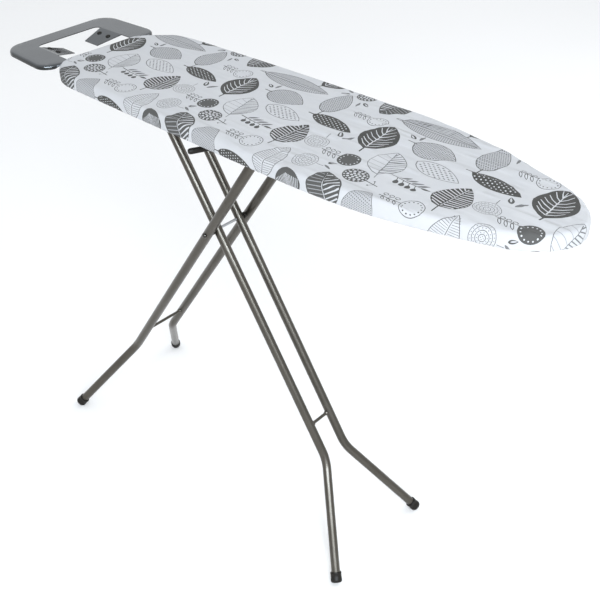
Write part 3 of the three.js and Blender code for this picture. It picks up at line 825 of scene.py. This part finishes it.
EDGE_R = 8.0
LOWER_R = 3.5
HEM_WIDTH = 15.0
COVER_DEPTH = BOARD_DEPTH / MM
SIDE_DROP = COVER_DEPTH - EDGE_R - LOWER_R
WRAP = EDGE_R * math.pi / 2 + SIDE_DROP + LOWER_R * math.pi / 2 + HEM_WIDTH - LOWER_R
OUTLINE = board_outline()
FLAT_TOP = inset(OUTLINE, EDGE_R)
NECK_HALF = 110
NECK_NOTCH = 17.0
FOAM_CLEARANCE = 0.5
FOAM_SHOULDER = 4.2


def smooth_step(value, start, end):
    t = np.clip((value - start) / (end - start), 0, 1)
    return t * t * (3 - 2 * t)


def wrinkle_height(points):
    """Long, shallow tension creases, strongest toward the nose and along the near edge.

    They stand up from the foam and hardly sink into it.
    """
    x, y = points[:, 0], points[:, 1]
    heights = np.array([
        noise.noise(Vector((px * 0.0042, py * 0.055 + px * 0.004, 1.7)))
        + 0.5 * noise.noise(Vector((px * 0.008, py * 0.12 - px * 0.006, 5.2)))
        for px, py in points
    ])
    toward_nose = smooth_step(x, 60, 380)
    near_edge = smooth_step(-y, 60, 130) * smooth_step(x, -100, 150)
    return np.maximum(heights * (0.9 + 4.5 * np.maximum(toward_nose * 0.8, near_edge)), -0.35)


def cover_place(points):
    """Where each point of the flat cloth lies once it is stretched over the board."""
    base, way, past, round_way = past_loop(points, FLAT_TOP)
    out, down = fold_profile(past, EDGE_R, SIDE_DROP, LOWER_R)
    hem = smooth_step(past, EDGE_R * 1.6 + SIDE_DROP * 0.3, WRAP)
    gather = np.sin(round_way / 3.1) + 0.6 * np.sin(round_way / 1.9 + 1.3)
    out = out + hem * gather * 0.55
    flat = base + way * out[:, None]
    rise = wrinkle_height(points) * (1 - smooth_step(past, EDGE_R * 0.5, EDGE_R * 2.5))
    return in_frame(flat, TOP_Z + (rise - down) * MM)


def surface_normals(place, points, step=0.4):
    east, north = np.array((step, 0)), np.array((0, step))
    along = place(points + east) - place(points - east)
    across = place(points + north) - place(points - north)
    normal = np.cross(along, across)
    return normal / np.maximum(np.linalg.norm(normal, axis=1), 1e-12)[:, None]


def add_cover():
    domain = inset(FLAT_TOP, -WRAP)
    end = END_X + EDGE_R - NECK_NOTCH
    notch = [(END_X - WRAP - 20, -NECK_HALF - 2), (end, -NECK_HALF - 2), (end, NECK_HALF + 2),
             (END_X - WRAP - 20, NECK_HALF + 2)]
    shapes = printed_shapes(domain)
    bends = [EDGE_R * math.pi / 2 * i / 5 for i in range(6)]
    bends += [EDGE_R * math.pi / 2 + SIDE_DROP + LOWER_R * math.pi / 2 * i / 2 for i in range(3)]
    creases = [(inset(FLAT_TOP, -s), True) for s in bends]
    points, triangles, top = cut_sheet([domain], [points for _, points in shapes], [notch], creases, 8.0)
    placed = cover_place(points)
    mesh = bpy.data.meshes.new("printed_cover")
    mesh.from_pydata(placed.tolist(), [], triangles)
    inks = np.array([shapes[i][0] if i >= 0 else CLOTH for i in top])
    colours = np.repeat(np.column_stack([inks, np.ones(len(inks))]), 3, axis=0)
    attribute = mesh.color_attributes.new("ink", "FLOAT_COLOR", "CORNER")
    attribute.data.foreach_set("color", colours.astype(np.float32).ravel())
    cover = dress(mesh, "printed_cover", cover_material(), ["board_cover"], sharp=180)
    mesh.normals_split_custom_set_from_vertices(surface_normals(cover_place, points).tolist())
    return cover, domain


def add_hem():
    """The hem's casing, a soft gathered roll along the cover's inner edge."""
    loop = inset(OUTLINE, HEM_WIDTH - 1.5)
    clear = ~((loop[:, 0] < END_X + 30) & (np.abs(loop[:, 1]) < NECK_HALF + 3))
    run = loop[clear]
    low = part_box("board_cover")[0].z / MM
    stations = []
    length = 0.0
    for i, (x, y) in enumerate(run):
        ahead = run[min(i + 1, len(run) - 1)] - run[max(i - 1, 0)]
        length += float(np.linalg.norm(run[i] - run[i - 1])) if i else 0.0
        radius = 2.3 + 0.35 * math.sin(length / 2.7) + 0.25 * math.sin(length / 4.9)
        centre = Vector((x * MM + PIVOT.x, y * MM, (low + 2.6) * MM))
        stations.append((centre, Vector((*ahead, 0)), radius * MM))
    verts, faces = loft(stations, 10)
    material = plain_cloth_material()
    return add_piece("cover_hem_roll", verts, faces, material, body="deck", sharp=80)


def add_foam():
    """The pad: flat below, with soft shoulders round its upper edge."""
    low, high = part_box("foam_pad")
    high.z -= FOAM_CLEARANCE * MM
    loop = inset(OUTLINE, 1.9)
    rows = [(0.6, low.z), (0, low.z + 1.2 * MM)]
    for turn in range(0, 91, 18):
        angle = math.radians(turn)
        drop = FOAM_SHOULDER * (1 - math.sin(angle))
        rows.append((FOAM_SHOULDER * (1 - math.cos(angle)), high.z - drop * MM))
    count = len(loop)
    verts = [tuple(p) for distance, z in rows for p in in_frame(inset(loop, distance), np.full(count, z))]
    faces = []
    for first in range(0, (len(rows) - 1) * count, count):
        for i in range(count):
            after = (i + 1) % count
            faces.append([first + i, first + after, first + count + after, first + count + i])
    faces += [list(range(count)), list(range((len(rows) - 1) * count, len(rows) * count))]
    pad = add_piece("foam_padding", verts, faces, foam_material(), ["foam_pad"], sharp=50)


# ---------------------------------------------------------------- deck and iron rest

DECK_EDGE_R = 4.0
PERFORATION_R = 4.0
PERFORATION_PITCH = 19.0
PERFORATION_MARGIN = 26.0
PERFORATION_START = 80


def thicken(obj, thickness):
    """Gives a sheet its thickness, with cut edges that stay crisp."""
    sheet = bmesh.new()
    sheet.from_mesh(obj.data)
    for edge in sheet.edges:
        if edge.is_boundary:
            edge.smooth = False
    sheet.to_mesh(obj.data)
    sheet.free()
    modifier = obj.modifiers.new("thickness", "SOLIDIFY")
    modifier.thickness = thickness
    modifier.offset = -1
    modifier.use_even_offset = False


def circle(x, y, radius, sides):
    turns = [2 * math.pi * i / sides for i in range(sides)]
    return [(x + radius * math.cos(a), y + radius * math.sin(a)) for a in turns]


def add_deck(material):
    """The pressed deck: staggered round perforations, a rounded edge and a turned-down rim."""
    low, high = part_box("deck_sheet")
    outline = inset(OUTLINE, 1.7)
    flat_top = inset(outline, DECK_EDGE_R)
    drop = (high.z - low.z) / MM - DECK_EDGE_R
    wrap = DECK_EDGE_R * math.pi / 2 + drop
    domain = inset(flat_top, -wrap)
    holes = []
    for site in hex_grid(OUTLINE, PERFORATION_PITCH):
        margin = np.array(circle(*site, PERFORATION_MARGIN, 16))
        if site[0] > END_X + PERFORATION_START and past_loop(margin, OUTLINE)[2].max() == 0:
            holes.append(circle(*site, PERFORATION_R, 10))
    end = END_X + DECK_EDGE_R + 1.7 - DECK_EDGE_R * math.pi / 2
    gap = [(END_X - wrap - 20, -NECK_HALF - 4), (end, -NECK_HALF - 4), (end, NECK_HALF + 4),
           (END_X - wrap - 20, NECK_HALF + 4)]
    bends = [DECK_EDGE_R * math.pi / 2 * i / 4 for i in range(5)]
    creases = [(inset(flat_top, -s), True) for s in bends]
    points, triangles, _ = cut_sheet([domain], [], [gap, *holes], creases, 40.0)

    def place(flat):
        base, way, past, _ = past_loop(flat, flat_top)
        out, down = fold_profile(past, DECK_EDGE_R, drop)
        return in_frame(base + way * out[:, None], high.z - down * MM)

    deck = add_piece("deck_plate", place(points).tolist(), triangles, material, ["deck_sheet"])
    thicken(deck, 1.0 * MM)


# The iron rest: how far along the board its tray lies, half its width, its corner radii at the outer and the
# inner end, and how far it is out of square.
REST_X = (-508, -347)
REST_HALF = 140
REST_CORNERS = (40, 30)
REST_SKEW = 0.05
REST_TAPER = 0.045
REST_FAR_REACH = 4.5
REST_EDGE_R = 5.0
REST_LIP = 8.5
NECK_END_X = -262
WINDOW_X = (-464, -345)
WINDOW_HALF = 81
WING = {"root": (-453, -387), "tip": (-446, -405), "length": 54, "slope": 15}
WING_BEND_R = 5.0
REST_THICKNESS = 1.6


def rest_window():
    """The window with its two wings left standing in it, before they are bent down."""
    x0, x1 = WINDOW_X
    root0, root1 = WING["root"]
    tip0, tip1 = WING["tip"]
    tip_y = WINDOW_HALF - WING["length"]
    box = rounded_box(x0, x1, -WINDOW_HALF, WINDOW_HALF, 12, 12, 6)
    right, left = box[box[:, 1] > 0], box[box[:, 1] < 0]
    upper = [p for p in right if p[0] > -400] + [(root1, WINDOW_HALF), (tip1, tip_y), (tip0, tip_y),
                                                 (root0, WINDOW_HALF)] + [p for p in right if p[0] < -450]
    lower = [p for p in left if p[0] < -450] + [(root0, -WINDOW_HALF), (tip0, -tip_y), (tip1, -tip_y),
                                                (root1, -WINDOW_HALF)] + [p for p in left if p[0] > -400]
    return [tuple(p) for p in upper + lower]


def rest_place(flat):
    """Bends the rest's flat pattern: the edge rolls down, except at the neck, and the wings slope down."""
    inner = inset(rounded_box(*REST_X, -REST_HALF, REST_HALF, *REST_CORNERS), REST_EDGE_R)
    base, way, past, _ = past_loop(flat, inner)
    out, down = fold_profile(past, REST_EDGE_R, REST_LIP - REST_EDGE_R)
    placed = base + way * out[:, None]
    beside_neck = smooth_step(np.abs(flat[:, 1]), NECK_HALF - 12, NECK_HALF + 8)
    wrapped = np.where(flat[:, 0] > REST_X[1] - REST_EDGE_R - 1, beside_neck, 1.0)
    placed = flat + (placed - flat) * wrapped[:, None]
    down = down * wrapped
    root0, root1 = WING["root"]
    slope = math.radians(WING["slope"])
    wing = (flat[:, 0] > root0 - 0.5) & (flat[:, 0] < root1 + 0.5) & (np.abs(flat[:, 1]) < WINDOW_HALF)
    t = np.where(wing, WINDOW_HALF - np.abs(flat[:, 1]), 0)
    turn = np.clip(t / WING_BEND_R, 0, slope)
    beyond = np.maximum(t - WING_BEND_R * slope, 0)
    inward = WING_BEND_R * np.sin(turn) + beyond * math.cos(slope)
    placed[wing, 1] = (np.sign(flat[:, 1]) * (WINDOW_HALF - inward))[wing]
    down = down + np.where(wing, WING_BEND_R * (1 - np.cos(turn)) + beyond * math.sin(slope), 0)
    outward = smooth_step(placed[:, 0], REST_X[1], REST_X[0])
    askew = REST_SKEW * placed[:, 1] * outward
    placed = placed * np.column_stack([np.ones(len(placed)), 1 - REST_TAPER * outward])
    placed[:, 0] -= askew
    placed[:, 1] += REST_FAR_REACH * smooth_step(placed[:, 1], WINDOW_HALF, REST_HALF)
    return in_frame(placed, REST_TOP_Z - down * MM)


def add_iron_rest(material):
    body = rounded_box(*REST_X, -REST_HALF, REST_HALF, *REST_CORNERS)
    inner = inset(body, REST_EDGE_R)
    wrap = REST_EDGE_R * math.pi / 2 + REST_LIP - REST_EDGE_R
    domain = inset(inner, -wrap)
    neck_half = NECK_HALF - 12
    start = REST_X[1] - 20
    neck = [(start, -neck_half), (NECK_END_X, -neck_half), (NECK_END_X, neck_half), (start, neck_half)]
    creases = [(inset(inner, -REST_EDGE_R * math.pi / 2 * i / 5), True) for i in range(6)]
    bend = WING_BEND_R * math.radians(WING["slope"])
    for side in (1, -1):
        for share in (0, 0.5, 1):
            y = side * (WINDOW_HALF - bend * share)
            creases.append(([(WING["root"][0], y), (WING["root"][1], y)], False))
    points, triangles, _ = cut_sheet([domain, neck], [], [rest_window()], creases, 12.0)
    plate = add_piece("iron_rest_tray", rest_place(points).tolist(), triangles, material,
                      ["iron_rest_plate"], sharp=40)
    thicken(plate, REST_THICKNESS * MM)


# ---------------------------------------------------------------- studs, screws and fittings under the deck

def add_studs(material):
    """Round heat studs on the wings, each standing square to its wing."""
    slope = math.radians(WING["slope"])
    for index in range(1, 5):
        node = f"iron_rest_stud_{index}"
        place = middle(node)
        side = 1 if place.y > 0 else -1
        way = Vector((0, -side * math.sin(slope), math.cos(slope)))
        profile = [(0, -3.1), (2.5, -3.1), (2.5, 0.3), (4.9, 0.3), (5.2, 0.7), (5.2, 1.5), (4.8, 2.2),
                   (3.4, 3.0), (1.6, 3.35), (0, 3.4)]
        centre = 0.15 * MM
        turned = [(r * MM, h * MM - centre) for r, h in profile]
        verts, faces = lathe(place, way, turned, 28)
        add_piece(f"heat_stud_{index}", verts, faces, material, [node], sharp=50)


def copy_of_node(node, name, material, bevel=0.0004):
    """The CAD part's own shape with its edges broken and its round faces shaded smooth."""
    mesh = frame["nodes"][node].data.copy()
    weld = bmesh.new()
    weld.from_mesh(mesh)
    bmesh.ops.remove_doubles(weld, verts=weld.verts, dist=0.00001)
    bmesh.ops.dissolve_limit(weld, angle_limit=math.radians(1), verts=weld.verts, edges=weld.edges)
    weld.to_mesh(mesh)
    weld.free()
    mesh.name = name
    return dress(mesh, name, material, [node], sharp=32, bevel=bevel)


def add_under_deck(zinc):
    for side in SIDES:
        copy_of_node(f"hinge_bracket_{side}", f"axle_bracket_{side}", zinc)
        copy_of_node(f"guide_rail_{side}", f"slide_rail_{side}", zinc)
    for index in (1, 2):
        copy_of_node(f"lever_ear_{index}", f"comb_ear_{index}", zinc, 0.0003)
    copy_of_node("latch_comb", "height_comb", zinc, 0.0003)
    copy_of_node("iron_rest_spacer", "rest_spacer_bar", zinc)
    for index in range(1, 5):
        copy_of_node(f"iron_rest_screw_{index}", f"rest_screw_{index}", zinc, 0.0003)
    low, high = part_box("lever_pin")
    centre = (low + high) / 2
    ends = [Vector((x, centre.y, centre.z)) for x in (low.x, high.x)]
    verts, faces = straight_rod(*ends, (high.z - low.z) / 2)
    add_piece("comb_pin", verts, faces, zinc, ["lever_pin"])
    add_spring(zinc)


def add_spring(material):
    low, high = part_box("return_spring")
    centre = (low + high) / 2
    wire = 0.5 * MM
    radius = (high.x - low.x) / 2 - wire
    turns, steps = 5, 24
    rise = high.z - low.z - 2 * wire
    stations = []
    for i in range(turns * steps + 1):
        angle = 2 * math.pi * i / steps
        share = i / (turns * steps)
        x = centre.x + radius * math.cos(angle)
        y = centre.y + radius * math.sin(angle)
        place = Vector((x, y, low.z + wire + rise * share))
        way = Vector((-math.sin(angle), math.cos(angle), rise / (turns * 2 * math.pi * radius)))
        stations.append((place, way, wire))
    verts, faces = loft(stations, 8)
    spring = add_piece("comb_spring", verts, faces, material, ["return_spring"], sharp=60)
    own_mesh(spring)


# ---------------------------------------------------------------- release lever

GRIP_TIP = Vector((62, -141, 856))
GRIP_WAY = Vector((11, 24, 0)).normalized()
GRIP_LENGTH = 66
LEVER_ROD_R = 2.5


def smooth_path(points, per_span=8):
    """A Catmull-Rom curve through the points."""
    ends = [points[0] * 2 - points[1], *points, points[-1] * 2 - points[-2]]
    path = []
    for a, b, c, d in zip(ends, ends[1:], ends[2:], ends[3:]):
        for i in range(per_span):
            t = i / per_span
            path.append(0.5 * (2 * b + (c - a) * t + (2 * a - 5 * b + 4 * c - d) * t ** 2
                               + (3 * b - a - 3 * c + d) * t ** 3))
    return [*path, points[-1]]


def path_stations(path, radius):
    ways = [path[min(i + 1, len(path) - 1)] - path[max(i - 1, 0)] for i in range(len(path))]
    return [(point, way, radius) for point, way in zip(path, ways)]


def placed_mm(point):
    return Vector((point.x * MM + PIVOT.x, point.y * MM, point.z * MM))


def add_lever(zinc, plastic):
    """A bent rod from the comb out to the near edge, where it drops and runs inside the grip."""
    root = GRIP_TIP + GRIP_WAY * GRIP_LENGTH
    route = [Vector(point) for point in ((125, -3, 874), (118, -18, 873.5), (101, -57, 872))]
    in_line = ((15, 869), (9, 863), (5, 858), (1.5, GRIP_TIP.z), (-20, GRIP_TIP.z), (-38, GRIP_TIP.z))
    route += [Vector((*(root + GRIP_WAY * reach).xy, z)) for reach, z in in_line]
    path = [placed_mm(p) for p in smooth_path(route)]
    verts, faces = loft(path_stations(path, LEVER_ROD_R * MM), 18)
    add_piece("release_rod", verts, faces, zinc, ["lever_rod"], sharp=60)
    profile = [(0, 40), (2.8, 40), (2.8, 0), (3.9, 0), (4.9, 0.4), (5.4, 1.5), (5.4, 6), (5.2, 20),
               (5.1, 33), (5.25, 48), (5.4, 58), (5.3, 61), (4.9, 63), (4.0, 64.6), (2.6, 65.6),
               (1.2, 65.95), (0, GRIP_LENGTH)]
    verts, faces = lathe(placed_mm(root), -GRIP_WAY, [(r * MM, h * MM) for r, h in profile], 36)
    add_piece("release_grip", verts, faces, plastic, ["lever_grip"], sharp=50)


# ---------------------------------------------------------------- legs

# Each leg in its own plane, in millimetres: half its spread, the tube's radius, half the spread of its feet,
# how far below the crossing the bend and the crossbar are, and the pin at its upper end.
FOOT_Z = 10.7 * MM
LEGS = {
    "inner": {"y": 29.6, "r": 9.0, "foot_y": 133.0, "bend": 524, "bar": 443, "pin": "hinge_axle"},
    "outer": {"y": 55.1, "r": 9.5, "foot_y": 156.5, "bend": 516, "bar": 433, "pin": "catch_bar"},
}
BEND_RADIUS = 90
TUBE_PAST_PIN = 12
TUBE_WALL = 1.2
BORE_DEPTH = 30
CROSSBAR_R = 3.2
CAP_WALL = 2.5
CAP_DROP = 6.5
CAP_LENGTH = 21


def leg_frame(leg):
    """The leg's upward direction, the pin's distance and the foot's distance from the crossing."""
    pin = middle(leg["pin"])
    up = (pin - PIVOT).normalized()
    reach = (PIVOT.z - FOOT_Z) / up.z
    return up, (pin - PIVOT).length, reach


def in_leg(up, y, down):
    """A point of the leg's plane: y millimetres across and down millimetres below the crossing."""
    return PIVOT - up * (down * MM) + Vector((0, y * MM, 0))


def tube_path(leg, side):
    up, arm, reach = leg_frame(leg)
    splay = math.atan2(leg["foot_y"] - leg["y"], reach / MM - leg["bend"])
    tangent = BEND_RADIUS * math.tan(splay / 2)
    flat = [(leg["y"], -(arm / MM + TUBE_PAST_PIN)), (leg["y"], -150), (leg["y"], 0), (leg["y"], 200)]
    for i in range(15):
        angle = splay * i / 14
        flat.append((leg["y"] + BEND_RADIUS * (1 - math.cos(angle)),
                     leg["bend"] - tangent + BEND_RADIUS * math.sin(angle)))
    foot = (leg["foot_y"], reach / MM)
    way = (Vector((0, side * math.sin(splay), 0)) - up * math.cos(splay)).normalized()
    flat.append(foot)
    return [in_leg(up, side * y, down) for y, down in flat], way


def add_tube(name, leg, side, material, node):
    """A bent tube: its upper end shows a short open bore, and its lower end runs into the foot cap."""
    path, way = tube_path(leg, side)
    outer = leg["r"] * MM
    inner = outer - TUBE_WALL * MM
    down = (path[1] - path[0]).normalized()
    bottom = path[0] + down * BORE_DEPTH * MM
    stations = [(bottom, down, 0), (bottom, down, inner), (path[0], down, inner),
                (path[0], down, outer - 0.0003), (path[0] + down * 0.0004, down, outer)]
    for before, point, after in zip(path, path[1:], [*path[2:], path[-1] + way]):
        stations.append((point, after - before, outer))
    stations[-1] = (path[-1], way, outer)
    stations.append((path[-1] + way * 0.003, way, outer))
    verts, faces = loft(stations, 40)
    add_piece(name, verts, faces, material, [node], sharp=50)


def add_foot(name, leg, side, material, node):
    """A black cup on the tube's end, worn flat where it stands on the floor."""
    path, way = tube_path(leg, side)
    base = path[-1] + way * ((path[-1].z - CAP_DROP * MM) / -way.z)
    outer = leg["r"] + CAP_WALL
    profile = [(0, 0), (outer - 2.6, 0), (outer - 0.9, 0.7), (outer, 2.4), (outer, 8), (outer - 0.3, 8.6),
               (outer - 0.3, CAP_LENGTH - 3.4), (outer, CAP_LENGTH - 2.8), (outer, CAP_LENGTH - 1.2),
               (outer - 0.8, CAP_LENGTH), (leg["r"] + 0.25, CAP_LENGTH), (leg["r"] + 0.25, CAP_LENGTH - 8)]
    verts, faces = lathe(base, -way, [(r * MM, h * MM) for r, h in profile], 40)
    verts = [Vector((v.x, v.y, max(v.z, 0))) for v in verts]
    add_piece(name, verts, faces, material, [node], sharp=42)


def add_crossbar(name, leg, material, node):
    up = leg_frame(leg)[0]
    half = leg["y"] - leg["r"] - 0.1
    ends = [in_leg(up, side * half, leg["bar"]) for side in (-1, 1)]
    verts, faces = straight_rod(*ends, CROSSBAR_R * MM)
    add_piece(name, verts, faces, material, [node])
    for word, side in SIDES.items():
        add_weld(f"{name}_weld_{word}", leg, side, material, up)


def add_weld(name, leg, side, material, up):
    """A lumpy bead round the crossbar's end, fairing it into the tube."""
    at = in_leg(up, side * (leg["y"] - leg["r"]), leg["bar"])
    way = Vector((0, -side, 0))
    bead = [(0, -1.2), (5.4, -0.9), (5.6, 0.3), (5.0, 1.5), (4.1, 2.6), (3.4, 3.6), (0, 3.7)]
    verts, faces = lathe(at, way, [(r * MM, h * MM) for r, h in bead], 24)
    lumps = [noise.noise(v * 420) for v in verts]
    verts = [v + (v - at) * (0.16 * lump) for v, lump in zip(verts, lumps)]
    add_piece(name, verts, faces, material, body=f"{name.split('_')[0]}_leg", sharp=70)


RODS = (("hinge_axle", "leg_axle", 4.0), ("catch_bar", "height_bar", 4.0), ("pivot_rod", "crossing_rod", 2.7))
RIVETS = (("axle_cap", "axle_rivet", 6.5, 2.6), ("catch_bar_cap", "bar_rivet", 6.5, 2.6),
          ("pivot_cap", "crossing_rivet", 5.6, 3.4))
BUSH_FLANGE = 3.0


def add_round_fittings(zinc, rivet, plastic):
    """The axle, the catch bar and the pivot rod, with their rivets, spacers and bushes."""
    for node, name, radius in RODS:
        low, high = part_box(node)
        centre = (low + high) / 2
        ends = [Vector((centre.x, y, centre.z)) for y in (low.y, high.y)]
        verts, faces = straight_rod(*ends, radius * MM)
        add_piece(name, verts, faces, zinc, [node])
    for word, side in SIDES.items():
        for node, name, radius, height in RIVETS:
            dome = [(0, 0), (radius - 0.5, 0), (radius, 0.5)]
            for degrees in range(15, 90, 15):
                turn = math.radians(degrees)
                dome.append((radius * math.cos(turn), 0.5 + (height - 0.5) * math.sin(turn)))
            dome.append((0, height))
            add_turned(f"{name}_{word}", f"{node}_{word}", side, dome, rivet)
        spacer = ring_profile(3.0, 6.6, width_of(f"pivot_spacer_{word}"))
        add_turned(f"crossing_spacer_{word}", f"pivot_spacer_{word}", side, spacer, plastic)
        width = width_of(f"slide_bush_{word}")
        barrel = ring_profile(4.3, 6.0, width - BUSH_FLANGE)
        flange = [(r, h + width - BUSH_FLANGE) for r, h in ring_profile(4.3, 9.5, BUSH_FLANGE)]
        bush = barrel[:4] + flange[1:]
        add_turned(f"rail_bush_{word}", f"slide_bush_{word}", side, bush + bush[:1], plastic)


def width_of(node):
    low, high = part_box(node)
    return (high.y - low.y) / MM


def ring_profile(bore, radius, width, chamfer=0.4):
    return [(bore, 0), (radius - chamfer, 0), (radius, chamfer), (radius, width - chamfer),
            (radius - chamfer, width), (bore, width), (bore, 0)]


def add_turned(name, node, side, profile, material):
    """A turned piece in place of a CAD node, growing outward from the node's inner face."""
    low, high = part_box(node)
    centre = (low + high) / 2
    start = Vector((centre.x, low.y if side > 0 else high.y, centre.z))
    sides = 32
    verts, faces = lathe(start, (0, side, 0), [(r * MM, h * MM) for r, h in profile], sides)
    # lathe closes both ends with a flat face, which would fill a ring's bore
    faces = [face for face in faces if len(face) < sides]
    add_piece(name, verts, faces, material, [node], sharp=50)


def add_legs(paint, plastic):
    for kind, leg in LEGS.items():
        for word, side in SIDES.items():
            add_tube(f"{kind}_leg_tube_{word}", leg, side, paint, f"{kind}_tube_{word}")
            add_foot(f"{kind}_foot_{word}", leg, side, plastic, f"{kind}_foot_cap_{word}")
        add_crossbar(f"{kind}_rung", leg, paint, f"{kind}_crossbar")


# ---------------------------------------------------------------- the whole board

add_camera()
add_studio()
# rest_steel's rim=0.35 paints shade onto the tray's lip and underside: faces that don't look up are darkened
rest_steel = metal_material("rest_steel", (0.102, 0.110, 0.118), (0.119, 0.128, 0.137), 0.20, 0.9, 0.0006,
                            coat=0.3, depth=0.000004, rim=0.35)
deck_paint = metal_material("deck_powder_coat", (0.40, 0.41, 0.42), (0.46, 0.47, 0.48), 0.5, 0.2, 0.0012)
leg_paint = metal_material("leg_lacquer", (0.076, 0.068, 0.056), (0.092, 0.083, 0.070), 0.32, 0.9, 0.0006,
                           coat=0.25, depth=0.00002)
zinc_steel = metal_material("zinc_plate", (0.42, 0.43, 0.45), (0.58, 0.59, 0.60), 0.32, 0.95, 0.0009)
rivet_steel = metal_material("rivet_steel", (0.060, 0.056, 0.050), (0.090, 0.086, 0.080), 0.16, 1.0, 0.0009)
black_plastic = plastic_material()

cover, cloth_domain = add_cover()
hem = add_hem()
add_foam()
add_deck(deck_paint)
add_iron_rest(rest_steel)
add_studs(black_plastic)
add_under_deck(zinc_steel)
add_lever(zinc_steel, black_plastic)
add_legs(leg_paint, black_plastic)
add_round_fittings(zinc_steel, rivet_steel, black_plastic)
